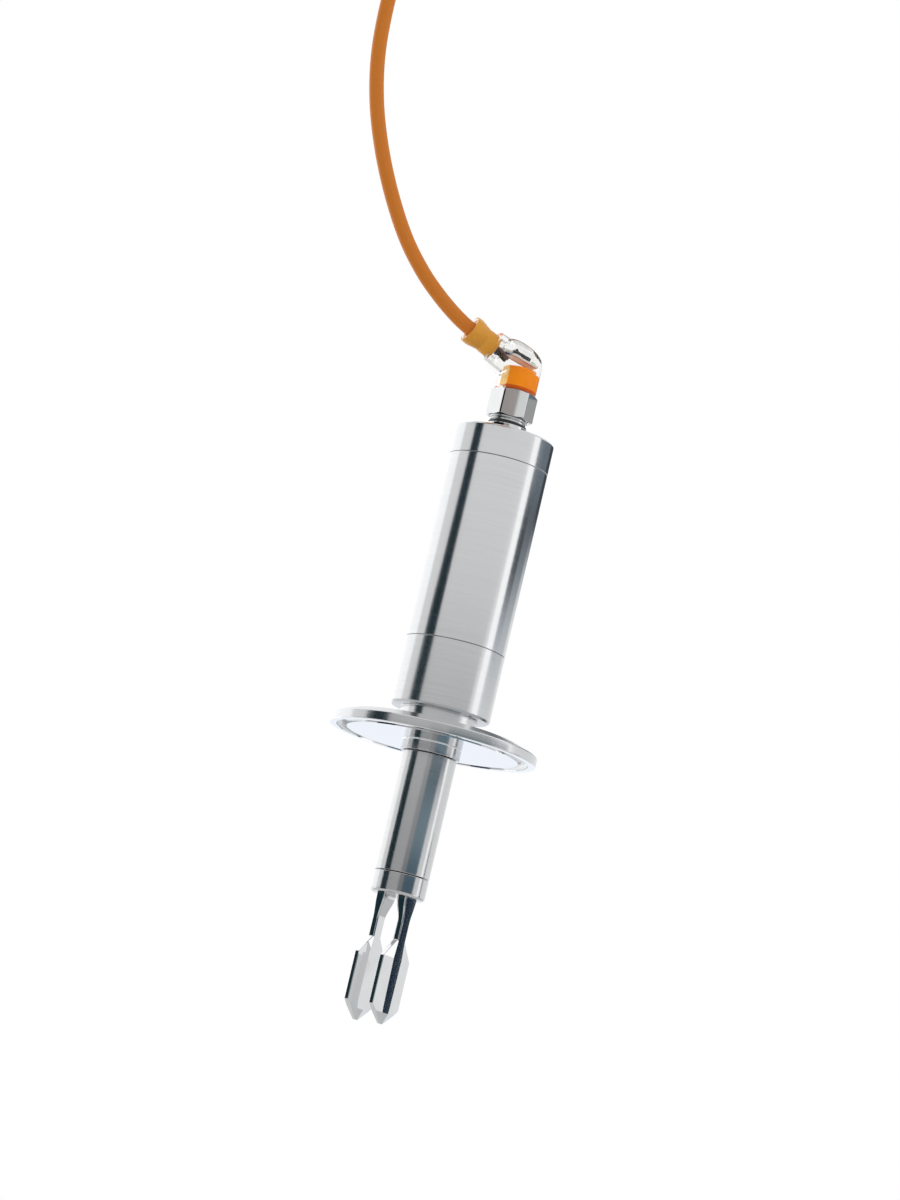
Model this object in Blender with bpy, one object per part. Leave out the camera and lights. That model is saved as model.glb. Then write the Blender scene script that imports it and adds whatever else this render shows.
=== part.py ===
"""Hygienic tuning fork level switch with a 2 inch clamp ferrule and an angled M12 cordset.

The switch stands upright with its fork down. The origin is on its axis, at the ferrule's sealing face.
All sizes are in metres. Run it with blender --background --python part.py, or from the text editor.
"""

import math

import bmesh
import bpy
import numpy as np
from mathutils import Matrix, Vector

# Clearances
SEAT_GAP = 0.0003
STACK_GAP = 0.0001
RUNNING_GAP = 0.00015
CUTTER_REACH = 0.0020

# Clamp adapter: ferrule, neck and lower housing section
FERRULE_DIAMETER = 0.064
FERRULE_RIM = 0.00285
FERRULE_TAPER_DEG = 20.0
FERRULE_TAPER_REACH = 0.0058
FERRULE_EDGE = 0.0004
GASKET_GROOVE_DIAMETER = 0.0564
GASKET_GROOVE_RADIUS = 0.0016
NECK_DIAMETER = 0.0237
NECK_LENGTH = 0.0048
NECK_FILLET = 0.0015
ADAPTER_LENGTH = 0.0209
COLLAR_DIAMETER = 0.0183
COLLAR_LENGTH = 0.0033
ADAPTER_FLOOR = 0.0030
ADAPTER_LEDGE = 0.0015

# Housing tube and cover
HOUSING_DIAMETER = 0.031
HOUSING_BEVEL = 0.0006
HOUSING_WALL = 0.0020
LIP_WALL = 0.0009
SPIGOT_LENGTH = 0.0030
TUBE_LENGTH = 0.0577
COVER_LENGTH = 0.0093
COVER_PLATE = 0.0030
COVER_SPIGOT = 0.0045
COVER_SPIGOT_WALL = 0.0017
SEAL_CORD = 0.0012

# Probe pipe and fork
PIPE_DIAMETER = 0.0169
PIPE_WALL = 0.0015
PIPE_LENGTH = 0.0369
FORK_BASE_LENGTH = 0.0063
MEMBRANE = 0.0012
POCKET_WALL = 0.0018
STUD_DIAMETER = 0.0038
STUD_LENGTH = 0.0175
TINE_LENGTH = 0.0387
TINE_SPACING = 0.0095
PADDLE_WIDTH = 0.0132
PADDLE_THICKNESS = 0.0022
PADDLE_EDGE = 0.0014
PADDLE_INNER_FLAT = 0.0056
PADDLE_OUTER_FLAT = 0.0028
PADDLE_LENGTH = 0.0200
PADDLE_SHOULDER = 0.0055
PADDLE_POINT = 0.0052
PADDLE_TIP_WIDTH = 0.0016
TIP_THICKNESS = 0.0010
TINE_NECK_WIDTH = 0.0038
TINE_NECK_FLAT = 0.0026
TINE_ROOT_WIDTH = 0.0056
TINE_ROOT_GAP = 0.0044
TINE_ROOT_LENGTH = 0.0078
THIN_EDGE_SHARE = 0.46

# Fork drive on the stud
STACK_DIAMETER = 0.0112
STACK_BORE = 0.0044
CERAMIC_WASHER = 0.0015
PIEZO_THICKNESS = 0.0013
PIEZO_COUNT = 4
ELECTRODE_THICKNESS = 0.0003
DRIVE_NUT_FLATS = 0.0080
DRIVE_NUT_LENGTH = 0.0032
WIRE_DIAMETER = 0.0007
# A wire between the pipe and the board as (x, y, height); the other wire's x and y are turned half round.
WIRE_ROUTE = [
    (0.0000, 0.0050, 0.0060),
    (0.0020, 0.0040, 0.0128),
    (0.0030, 0.0030, 0.0287),
    (0.0040, 0.0022, 0.0367),
]

# Electronics
CARRIER_WALL = 0.0010
CARRIER_FIT = 0.0004
SLOT_DEPTH = 0.0005
BOARD_THICKNESS = 0.0016
BOARD_TONGUE_WIDTH = 0.0120
BOARD_TONGUE_TOP_GAP = 0.0012
CHIP_SIZE = (0.0070, 0.0012, 0.0070)
CHIP_HEIGHT = 0.0600
COIL_FORM_DIAMETER = 0.0090
COIL_FORM_LENGTH = 0.0050
COIL_FORM_HEIGHT = 0.0450
CAPACITOR_DIAMETER = 0.0063
CAPACITOR_LENGTH = 0.0077
CAPACITOR_HEIGHT = 0.0740

# M12 socket
SOCKET_BASE_DIAMETER = 0.0124
SOCKET_BASE_LENGTH = 0.0026
SOCKET_GROOVE_DIAMETER = 0.0106
SOCKET_GROOVE_WIDTH = 0.0006
THREAD_DIAMETER = 0.0117
THREAD_LENGTH = 0.0053
SOCKET_MOUTH_DIAMETER = 0.0094
SOCKET_SHANK_LENGTH = 0.0060
CARRIER_SHOULDER_DEPTH = 0.0098
CONTACT_CARRIER_DIAMETER = 0.0082
CONTACT_CARRIER_LENGTH = 0.0042
CONTACT_CARRIER_HEAD = 0.0012
CONTACT_CIRCLE_RADIUS = 0.0025
PIN_DIAMETER = 0.0010
PIN_PROUD = 0.0065
PIN_TAIL = 0.0045

# M12 plug
NUT_FLATS = 0.0130
NUT_LENGTH = 0.0084
THREAD_BEVEL = 0.0003
NUT_BEVEL_DEG = 30.0
NUT_TURN_DEG = 43.0
NUT_LIP = 0.0018
NUT_LIP_BORE = 0.0100
NUT_REACH = 0.0036
HOLDER_FLANGE_DIAMETER = 0.0111
HOLDER_FLANGE = 0.0011
HOLDER_NECK_DIAMETER = 0.0093
HOLDER_NOSE_DIAMETER = 0.0086
SOCKET_CONTACT_DIAMETER = 0.0018
PLUG_SEAL_CORD = 0.0009
PLUG_SEAL_DIAMETER = 0.0099
ELBOW_DIAMETER = 0.0129
ELBOW_HEIGHT = 0.0139
ELBOW_TOP_RADIUS = 0.0022
ELBOW_BORE_DIAMETER = 0.0112
ELBOW_ROOF = 0.0016
ARM_ANGLE_DEG = 238.0
ARM_RISE_DEG = 21.0
ARM_HEIGHT = 0.0075
ARM_LENGTH = 0.0118
ARM_ROOT_DIAMETER = 0.0124
ARM_END_DIAMETER = 0.0104
ARM_BORE_DIAMETER = 0.0082
PLUG_CORE_LENGTH = 0.0080
LED_BOARD_SIZE = (0.0090, 0.0056, 0.0006)
LED_BOARD_TILT_DEG = 12.0
LED_SIZE = (0.0016, 0.0010, 0.0008)
LED_PLACE = (-0.0032, 0.0014)
LED_DRIVER_SIZE = (0.0042, 0.0030, 0.0014)
LED_DRIVER_PLACE = 0.0009
SLEEVE_START = 0.0082
SLEEVE_END = 0.0204
SLEEVE_FLARE_START = 0.0150
SLEEVE_FLARE_DIAMETER = 0.0090
SLEEVE_RIM = 0.0020

# Cable, its coil and its bare end
CABLE_DIAMETER = 0.0045
CABLE_ROUTE = [
    (0.0238, 0.1292), (0.0304, 0.1333),
    (0.0379, 0.1392), (0.0455, 0.1473), (0.0524, 0.1574), (0.0584, 0.1684), (0.0632, 0.1796),
    (0.0664, 0.1900), (0.0684, 0.2005), (0.0692, 0.2110), (0.0693, 0.2230), (0.0691, 0.2370),
    (0.0690, 0.2520), (0.0690, 0.2718),
]
COIL_HEIGHT = 0.2920
COIL_OUTER_TURN_RADIUS = 0.0423
COIL_TURN_PITCH = 0.0048
COIL_LAYER_PITCH = 0.0045
COIL_COLUMNS = 5
COIL_LAYERS = 4
TAIL_LEAVES_DEG = 30.0
TAIL_STRAIGHT = 0.0480
CORE_DIAMETER = 0.0012
CORE_LENGTH = 0.0130
CORE_SPLAY_DEG = 7.0
TIE_WIDTH = 0.0120
TIE_THICKNESS = 0.0012
TIE_LOOP_DIAMETER = 0.0200

# Facets
FERRULE_SIDES = 48
BODY_SIDES = 40
SMALL_SIDES = 22
TINY_SIDES = 10
ARC_STEPS = 3
CORD_FACETS = 6
SPLINE_STEPS = 24
LEAD_POINTS = 24
WIRE_POINTS = 16
CORE_POINTS = 4
TAIL_POINTS = 7

# Heights that follow from the lengths
FERRULE_TOP = FERRULE_RIM + FERRULE_TAPER_REACH * math.tan(math.radians(FERRULE_TAPER_DEG))
HOUSING_BOTTOM = FERRULE_TOP + NECK_LENGTH
ADAPTER_TOP = HOUSING_BOTTOM + ADAPTER_LENGTH
TUBE_BOTTOM = ADAPTER_TOP + SEAT_GAP
TUBE_TOP = TUBE_BOTTOM + TUBE_LENGTH
COVER_BOTTOM = TUBE_TOP + SEAT_GAP
COVER_TOP = COVER_BOTTOM + COVER_LENGTH
PIPE_TOP = -COLLAR_LENGTH - SEAT_GAP
PIPE_BOTTOM = PIPE_TOP - PIPE_LENGTH
FORK_TOP = PIPE_BOTTOM - SEAT_GAP
FORK_FACE = FORK_TOP - FORK_BASE_LENGTH
POCKET_FLOOR = FORK_FACE + MEMBRANE
SOCKET_BASE = COVER_TOP + SEAT_GAP
SOCKET_GROOVE = SOCKET_BASE + SOCKET_BASE_LENGTH
THREAD_BOTTOM = SOCKET_GROOVE + SOCKET_GROOVE_WIDTH
SOCKET_TOP = THREAD_BOTTOM + THREAD_LENGTH
SOCKET_BOTTOM = SOCKET_BASE - SOCKET_SHANK_LENGTH
CARRIER_SHOULDER = SOCKET_TOP - CARRIER_SHOULDER_DEPTH
CONTACT_FACE = CARRIER_SHOULDER + SEAT_GAP + CONTACT_CARRIER_HEAD
PIN_TOP = CONTACT_FACE + PIN_PROUD
PIN_BOTTOM = CARRIER_SHOULDER - CONTACT_CARRIER_LENGTH - PIN_TAIL
NUT_BOTTOM = SOCKET_TOP - NUT_REACH
NUT_TOP = NUT_BOTTOM + NUT_LENGTH
FLANGE_TOP = NUT_TOP - NUT_LIP - SEAT_GAP
FLANGE_BOTTOM = FLANGE_TOP - HOLDER_FLANGE
ELBOW_BOTTOM = NUT_TOP + SEAT_GAP
ELBOW_TOP = ELBOW_BOTTOM + ELBOW_HEIGHT
CORE_BOTTOM = ELBOW_BOTTOM + SEAT_GAP
CORE_TOP = CORE_BOTTOM + PLUG_CORE_LENGTH
ARM_ORIGIN = Vector((0.0, 0.0, ELBOW_BOTTOM + ARM_HEIGHT))

# Radii that follow from the diameters
HOUSING_RADIUS = HOUSING_DIAMETER / 2
HOUSING_BORE = HOUSING_RADIUS - HOUSING_WALL
RABBET_RADIUS = HOUSING_RADIUS - LIP_WALL
ADAPTER_BORE = HOUSING_BORE - ADAPTER_LEDGE
PIPE_RADIUS = PIPE_DIAMETER / 2
PIPE_BORE = PIPE_RADIUS - PIPE_WALL
COVER_SPIGOT_RADIUS = HOUSING_BORE - SEAT_GAP
SHANK_RADIUS = SOCKET_GROOVE_DIAMETER / 2
CONTACT_BORE = CONTACT_CARRIER_DIAMETER / 2 + SEAT_GAP
CABLE_RADIUS = CABLE_DIAMETER / 2

ARM_AZIMUTH = math.radians(ARM_ANGLE_DEG)
ARM_OUT = Vector((math.cos(ARM_AZIMUTH), math.sin(ARM_AZIMUTH), 0.0))
ARM_RISE = math.radians(ARM_RISE_DEG)
ARM_AXIS = ARM_OUT * math.cos(ARM_RISE) + Vector((0.0, 0.0, math.sin(ARM_RISE)))
COIL_CENTRE_OUT = CABLE_ROUTE[-1][0] - COIL_OUTER_TURN_RADIUS


def clear_scene():
    for obj in list(bpy.data.objects):
        bpy.data.objects.remove(obj, do_unlink=True)


def finish(name, colour, roughness, metallic, transmission=0.0):
    """A Principled material."""
    material = bpy.data.materials.new(name)
    material.use_nodes = True
    shader = material.node_tree.nodes["Principled BSDF"]
    shader.inputs["Base Color"].default_value = (*colour, 1.0)
    shader.inputs["Roughness"].default_value = roughness
    shader.inputs["Metallic"].default_value = metallic
    shader.inputs["Transmission Weight"].default_value = transmission
    return material


def object_from(name, bm, material, sharp_deg=35.0):
    """Turns the bmesh into a smooth-shaded object with its faces pointing out."""
    bmesh.ops.remove_doubles(bm, verts=bm.verts, dist=1e-7)
    bmesh.ops.recalc_face_normals(bm, faces=bm.faces)
    mesh = bpy.data.meshes.new(name)
    bm.to_mesh(mesh)
    bm.free()
    mesh.materials.append(material)
    mesh.shade_smooth()
    mesh.set_sharp_from_angle(angle=math.radians(sharp_deg))
    obj = bpy.data.objects.new(name, mesh)
    bpy.context.scene.collection.objects.link(obj)
    return obj


def arc(centre, radius, start_deg, end_deg, steps=ARC_STEPS):
    """Points of an arc in a (radius, height) profile."""
    angles = np.radians(np.linspace(start_deg, end_deg, steps + 1))
    return [(centre[0] + radius * math.cos(a), centre[1] + radius * math.sin(a)) for a in angles]


def turned(name, profile, sides, material):
    """Spins (radius, height) points about Z. A profile that starts on the axis also ends on it."""
    bm = bmesh.new()
    points = [bm.verts.new((radius, 0.0, height)) for radius, height in profile]
    edges = [bm.edges.new(pair) for pair in zip(points, points[1:])]
    if profile[0][0] > 0:
        edges.append(bm.edges.new((points[-1], points[0])))
    axis = {"cent": (0, 0, 0), "axis": (0, 0, 1)}
    bmesh.ops.spin(bm, geom=points + edges, **axis, angle=2 * math.pi, steps=sides, use_merge=True)
    return object_from(name, bm, material)


def rod(name, radius, bottom, top, sides, material, place=(0.0, 0.0)):
    """A plain round bar standing on its own axis."""
    obj = turned(name, [(0, bottom), (radius, bottom), (radius, top), (0, top)], sides, material)
    obj.location = (place[0], place[1], 0.0)
    return obj


def tube(name, outer, inner, bottom, top, sides, material, place=(0.0, 0.0)):
    obj = turned(name, [(outer, top), (outer, bottom), (inner, bottom), (inner, top)], sides, material)
    obj.location = (place[0], place[1], 0.0)
    return obj


def ring_cord(name, ring_radius, cord_radius, height, sides, material):
    """An O-ring."""
    return turned(name, arc((ring_radius, height), cord_radius, 0, 360, CORD_FACETS)[:-1], sides, material)


def box(name, size, centre, material):
    bm = bmesh.new()
    bmesh.ops.create_cube(bm, size=1.0, matrix=Matrix.Diagonal((*size, 1.0)))
    bmesh.ops.translate(bm, verts=bm.verts, vec=centre)
    return object_from(name, bm, material)


def prism(name, outline, depth, material):
    """A flat outline of (x, y) points, extruded by depth along +Z."""
    bm = bmesh.new()
    face = bm.faces.new([bm.verts.new((x, y, 0.0)) for x, y in outline])
    extruded = bmesh.ops.extrude_face_region(bm, geom=[face])["geom"]
    moved = [item for item in extruded if isinstance(item, bmesh.types.BMVert)]
    bmesh.ops.translate(bm, verts=moved, vec=(0.0, 0.0, depth))
    return object_from(name, bm, material)


def combine(obj, other, operation):
    """Applies a Boolean with a helper object that is not part of the switch."""
    other.hide_render = True
    other.display_type = "WIRE"
    modifier = obj.modifiers.new(operation.title(), "BOOLEAN")
    modifier.operation = operation
    modifier.solver = "EXACT"
    modifier.object = other


def hexagon(flats, turn_deg):
    corner = flats / 2 / math.cos(math.pi / 6)
    angles = [math.radians(turn_deg) + i * math.pi / 3 for i in range(6)]
    return [(corner * math.cos(a), corner * math.sin(a)) for a in angles]


def contact_places():
    angles = [math.radians(degrees) for degrees in (45, 135, 225, 315)]
    return [(CONTACT_CIRCLE_RADIUS * math.cos(a), CONTACT_CIRCLE_RADIUS * math.sin(a)) for a in angles]


def along_arm(obj):
    """Lays a piece made about Z along the arm, with its origin where the two axes meet."""
    tilt = Matrix.Rotation(math.radians(90.0 - ARM_RISE_DEG), 4, "Y")
    obj.matrix_world = Matrix.Translation(ARM_ORIGIN) @ Matrix.Rotation(ARM_AZIMUTH, 4, "Z") @ tilt


def make_clamp_adapter(steel):
    """Lower housing section, neck, clamp ferrule and pipe collar, turned from one bar."""
    neck = NECK_DIAMETER / 2
    rim = FERRULE_DIAMETER / 2
    groove = GASKET_GROOVE_DIAMETER / 2
    collar = COLLAR_DIAMETER / 2
    taper = math.tan(math.radians(FERRULE_TAPER_DEG))
    profile = [
        (HOUSING_RADIUS, ADAPTER_TOP),
        (HOUSING_RADIUS, HOUSING_BOTTOM + HOUSING_BEVEL),
        (HOUSING_RADIUS - HOUSING_BEVEL, HOUSING_BOTTOM),
    ]
    profile += arc((neck + NECK_FILLET, HOUSING_BOTTOM - NECK_FILLET), NECK_FILLET, 90, 180)
    profile += arc((neck + NECK_FILLET, FERRULE_TOP + NECK_FILLET), NECK_FILLET, 180, 270)
    profile += [
        (rim - FERRULE_TAPER_REACH, FERRULE_TOP),
        (rim - FERRULE_EDGE, FERRULE_RIM + FERRULE_EDGE * taper),
        (rim, FERRULE_RIM - FERRULE_EDGE),
        (rim, FERRULE_EDGE),
        (rim - FERRULE_EDGE, 0.0),
    ]
    profile += arc((groove, 0.0), GASKET_GROOVE_RADIUS, 0, 180, 2 * ARC_STEPS)
    profile += [
        (collar, 0.0),
        (collar, -COLLAR_LENGTH),
        (PIPE_BORE, -COLLAR_LENGTH),
        (PIPE_BORE, HOUSING_BOTTOM + ADAPTER_FLOOR),
        (ADAPTER_BORE, HOUSING_BOTTOM + ADAPTER_FLOOR),
        (ADAPTER_BORE, ADAPTER_TOP - SPIGOT_LENGTH),
        (RABBET_RADIUS, ADAPTER_TOP - SPIGOT_LENGTH),
        (RABBET_RADIUS, ADAPTER_TOP),
    ]
    turned("clamp_adapter", profile, FERRULE_SIDES, steel)


def make_housing(steel, rubber):
    spigot = RABBET_RADIUS - SEAT_GAP
    spigot_end = ADAPTER_TOP - SPIGOT_LENGTH + SEAT_GAP
    turned(
        "housing_tube",
        [
            (HOUSING_RADIUS, TUBE_TOP),
            (HOUSING_RADIUS, TUBE_BOTTOM),
            (spigot, TUBE_BOTTOM),
            (spigot, spigot_end),
            (HOUSING_BORE, spigot_end),
            (HOUSING_BORE, TUBE_TOP),
        ],
        BODY_SIDES,
        steel,
    )
    seal_height = COVER_BOTTOM - COVER_SPIGOT / 2
    seal_groove = COVER_SPIGOT_RADIUS - SEAL_CORD - SEAT_GAP
    half_groove = SEAL_CORD / 2 + SEAT_GAP
    hollow = seal_groove - COVER_SPIGOT_WALL
    turned(
        "housing_cover",
        [
            (HOUSING_RADIUS - HOUSING_BEVEL, COVER_TOP),
            (HOUSING_RADIUS, COVER_TOP - HOUSING_BEVEL),
            (HOUSING_RADIUS, COVER_BOTTOM),
            (COVER_SPIGOT_RADIUS, COVER_BOTTOM),
            (COVER_SPIGOT_RADIUS, seal_height + half_groove),
            (seal_groove, seal_height + half_groove),
            (seal_groove, seal_height - half_groove),
            (COVER_SPIGOT_RADIUS, seal_height - half_groove),
            (COVER_SPIGOT_RADIUS, COVER_BOTTOM - COVER_SPIGOT),
            (hollow, COVER_BOTTOM - COVER_SPIGOT),
            (hollow, COVER_TOP - COVER_PLATE),
            (SHANK_RADIUS + SEAT_GAP, COVER_TOP - COVER_PLATE),
            (SHANK_RADIUS + SEAT_GAP, COVER_TOP),
        ],
        BODY_SIDES,
        steel,
    )
    seal_radius = seal_groove + (SEAT_GAP + SEAL_CORD) / 2
    ring_cord("cover_seal", seal_radius, SEAL_CORD / 2, seal_height, SMALL_SIDES, rubber)


def tine_section(height, width, inner_flat, outer_flat, inner, outer, edge):
    """One cross-section of the +X tine: a flat and two wings on each face, with thin edges between them.

    inner and outer are how far its two faces lie from the switch's axis, and edge is the edge's thickness.
    """
    middle = (inner + outer) / 2
    half = width / 2
    half_edge = edge / 2
    return [
        (inner, -inner_flat / 2, height),
        (middle - half_edge, -half, height),
        (middle + half_edge, -half, height),
        (outer, -outer_flat / 2, height),
        (outer, outer_flat / 2, height),
        (middle + half_edge, half, height),
        (middle - half_edge, half, height),
        (inner, inner_flat / 2, height),
    ]


def tine_sections():
    """The +X tine from inside the membrane to its tip: root, neck, shoulder, paddle and point."""
    centre = TINE_SPACING / 2
    face = FORK_FACE
    tip = face - TINE_LENGTH
    point = tip + PADDLE_POINT
    shoulder_low = tip + PADDLE_LENGTH
    shoulder_high = shoulder_low + PADDLE_SHOULDER
    # The outer face is one plane from the root to the paddle's point.
    inner_face = centre - PADDLE_THICKNESS / 2
    outer_face = centre + PADDLE_THICKNESS / 2
    neck_edge = PADDLE_THICKNESS * THIN_EDGE_SHARE
    sections = []
    for step in range(ARC_STEPS + 1):
        # The root is a quarter wave: widest at the membrane, and it meets the neck without a corner.
        share = math.cos(math.pi / 2 * step / ARC_STEPS) ** 2
        width = TINE_NECK_WIDTH + share * (TINE_ROOT_WIDTH - TINE_NECK_WIDTH)
        inner = inner_face - share * (inner_face - TINE_ROOT_GAP / 2)
        height = face - TINE_ROOT_LENGTH * step / ARC_STEPS
        flat = TINE_NECK_FLAT + share * (TINE_ROOT_WIDTH - TINE_NECK_WIDTH)
        edge = (outer_face - inner) * THIN_EDGE_SHARE
        if step == 0:
            sections.append(tine_section(face + MEMBRANE / 2, width, flat, flat, inner, outer_face, edge))
        sections.append(tine_section(height, width, flat, flat, inner, outer_face, edge))
    neck = (TINE_NECK_WIDTH, TINE_NECK_FLAT, TINE_NECK_FLAT, inner_face, outer_face, neck_edge)
    sections.append(tine_section(shoulder_high, *neck))
    paddle = (PADDLE_WIDTH, PADDLE_INNER_FLAT, PADDLE_OUTER_FLAT, inner_face, outer_face, PADDLE_EDGE)
    sections.append(tine_section(shoulder_low, *paddle))
    sections.append(tine_section(point, *paddle))
    tip_inner = centre - TIP_THICKNESS / 2
    tip_outer = centre + TIP_THICKNESS / 2
    flat = PADDLE_TIP_WIDTH / 2
    tip_edge = TIP_THICKNESS * THIN_EDGE_SHARE
    sections.append(tine_section(tip, PADDLE_TIP_WIDTH, flat, flat, tip_inner, tip_outer, tip_edge))
    return sections


def make_fork(steel):
    """Base ring, membrane and stud turned as one, with the two tines lofted and joined on."""
    stud = STUD_DIAMETER / 2
    pocket = PIPE_RADIUS - POCKET_WALL
    base = turned(
        "fork",
        [
            (0.0, POCKET_FLOOR + STUD_LENGTH),
            (stud, POCKET_FLOOR + STUD_LENGTH),
            (stud, POCKET_FLOOR),
            (pocket, POCKET_FLOOR),
            (pocket, FORK_TOP),
            (PIPE_RADIUS, FORK_TOP),
            (PIPE_RADIUS, FORK_FACE + FERRULE_EDGE),
            (PIPE_RADIUS - FERRULE_EDGE, FORK_FACE),
            (0.0, FORK_FACE),
        ],
        BODY_SIDES,
        steel,
    )
    for side in (1, -1):
        bm = bmesh.new()
        loops = [[bm.verts.new((side * x, y, z)) for x, y, z in section] for section in tine_sections()]
        for upper, lower in zip(loops, loops[1:]):
            for i in range(len(upper)):
                j = (i + 1) % len(upper)
                bm.faces.new((upper[i], upper[j], lower[j], lower[i]))
        bm.faces.new(loops[0])
        bm.faces.new(loops[-1])
        tine = object_from("tine_guide_right" if side > 0 else "tine_guide_left", bm, steel)
        combine(base, tine, "UNION")


def make_pipe(steel):
    tube("probe_pipe", PIPE_RADIUS, PIPE_BORE, PIPE_BOTTOM, PIPE_TOP, BODY_SIDES, steel)


def make_drive(ceramic, electrode, piezo, steel, wire_finishes):
    """The piezo stack on the fork's stud, clamped by a nut, with two wires up to the board."""
    outer = STACK_DIAMETER / 2
    inner = STACK_BORE / 2
    height = POCKET_FLOOR + STACK_GAP

    def add(name, thickness, material):
        nonlocal height
        tube(name, outer, inner, height, height + thickness, SMALL_SIDES, material)
        height += thickness + STACK_GAP

    add("piezo_washer_lower", CERAMIC_WASHER, ceramic)
    tabs = []  # heights at which a wire meets an electrode
    for i in range(PIEZO_COUNT):
        add(f"piezo_ring_{i + 1}", PIEZO_THICKNESS, piezo)
        if i < PIEZO_COUNT - 1:
            tabs.append(height + ELECTRODE_THICKNESS)
            add(f"piezo_electrode_{i + 1}", ELECTRODE_THICKNESS, electrode)
    add("piezo_washer_upper", CERAMIC_WASHER, ceramic)
    nut = prism("piezo_nut", hexagon(DRIVE_NUT_FLATS, 0.0), DRIVE_NUT_LENGTH, steel)
    nut.location = (0.0, 0.0, height)
    bore_radius = STUD_DIAMETER / 2 + SEAT_GAP
    bore_top = DRIVE_NUT_LENGTH + CUTTER_REACH
    bore = rod("piezo_nut_bore", bore_radius, -CUTTER_REACH, bore_top, SMALL_SIDES, steel)
    bore.parent = nut
    combine(nut, bore, "DIFFERENCE")

    wire_radius = WIRE_DIAMETER / 2
    beside = outer + RUNNING_GAP + wire_radius
    for i, (side, material) in enumerate(zip((1, -1), wire_finishes)):
        levels = (tabs[i * 2], height, (PIPE_TOP + height) / 2, PIPE_TOP)
        route = [(0.0, side * beside, level) for level in levels]
        route += [(side * x, side * y, level) for x, y, level in WIRE_ROUTE]
        cord(f"piezo_wire_{i + 1}", smooth_route(route, WIRE_POINTS), wire_radius, material, 1)


def smooth_route(points, count):
    """count points spread along a Catmull-Rom curve through the given ones."""
    points = np.array(points, float)
    padded = np.vstack([2 * points[0] - points[1], points, 2 * points[-1] - points[-2]])
    fine = []
    for i in range(len(points) - 1):
        before, start, end, after = padded[i : i + 4]
        t = np.linspace(0.0, 1.0, SPLINE_STEPS, endpoint=False)[:, None]
        slope = (end - before) * t
        bend = (2 * before - 5 * start + 4 * end - after) * t**2
        twist = (3 * start - before - 3 * end + after) * t**3
        fine.append(start + (slope + bend + twist) / 2)
    fine = np.vstack(fine + [points[-1:]])
    run = np.concatenate([[0.0], np.cumsum(np.linalg.norm(np.diff(fine, axis=0), axis=1))])
    even = np.linspace(0, run[-1], count)
    return np.stack([np.interp(even, run, fine[:, i]) for i in range(3)], axis=1)


def cord(name, points, radius, material, resolution=2):
    """A plain round tube along the points."""
    curve = bpy.data.curves.new(name, "CURVE")
    curve.dimensions = "3D"
    curve.bevel_depth = radius
    curve.bevel_resolution = resolution
    curve.use_fill_caps = True
    spline = curve.splines.new("POLY")
    spline.points.add(len(points) - 1)
    for point, place in zip(spline.points, points):
        point.co = (*place, 1.0)
    curve.materials.append(material)
    obj = bpy.data.objects.new(name, curve)
    bpy.context.scene.collection.objects.link(obj)
    return obj


def make_electronics(plastic, green_board, black, copper, grey):
    """The moulded carrier in the housing and the board that slides into its two slots."""
    outer = HOUSING_BORE - CARRIER_FIT
    inner = outer - CARRIER_WALL
    bottom = ADAPTER_TOP - SPIGOT_LENGTH + SEAT_GAP
    top = COVER_BOTTOM - COVER_SPIGOT - SEAT_GAP
    carrier = tube("board_carrier", outer, inner, bottom, top, BODY_SIDES, plastic)
    slot = box(
        "board_slot",
        (2 * (inner + SLOT_DEPTH), BOARD_THICKNESS + 2 * SEAT_GAP, top - bottom),
        (0.0, 0.0, (top + bottom) / 2 + SEAT_GAP + BOARD_THICKNESS),
        plastic,
    )
    combine(carrier, slot, "DIFFERENCE")

    half = inner + SLOT_DEPTH - SEAT_GAP
    tongue = BOARD_TONGUE_WIDTH / 2
    board_bottom = bottom + BOARD_THICKNESS + 2 * SEAT_GAP
    board_top = CARRIER_SHOULDER - CONTACT_CARRIER_LENGTH - BOARD_TONGUE_TOP_GAP
    outline = [
        (-half, board_bottom),
        (half, board_bottom),
        (half, top - SEAT_GAP),
        (tongue, top - SEAT_GAP),
        (tongue, board_top),
        (-tongue, board_top),
        (-tongue, top - SEAT_GAP),
        (-half, top - SEAT_GAP),
    ]
    board = prism("circuit_board", outline, BOARD_THICKNESS, green_board)
    # The outline's heights become Z, and its thickness runs along Y.
    lying = Matrix.Rotation(math.pi / 2, 4, "X")
    board.matrix_world = Matrix.Translation((0.0, BOARD_THICKNESS / 2, 0.0)) @ lying

    near = BOARD_THICKNESS / 2 + STACK_GAP
    box("controller_chip", CHIP_SIZE, (0.0, -near - CHIP_SIZE[1] / 2, CHIP_HEIGHT), black)
    winding = rod("drive_coil", COIL_FORM_DIAMETER / 2, 0.0, COIL_FORM_LENGTH, SMALL_SIDES, copper)
    winding.matrix_world = Matrix.Translation((0.0, -near, COIL_FORM_HEIGHT)) @ lying
    can = rod("smoothing_capacitor", CAPACITOR_DIAMETER / 2, 0.0, CAPACITOR_LENGTH, SMALL_SIDES, grey)
    can.matrix_world = Matrix.Translation((0.0, -near, CAPACITOR_HEIGHT)) @ lying


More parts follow.
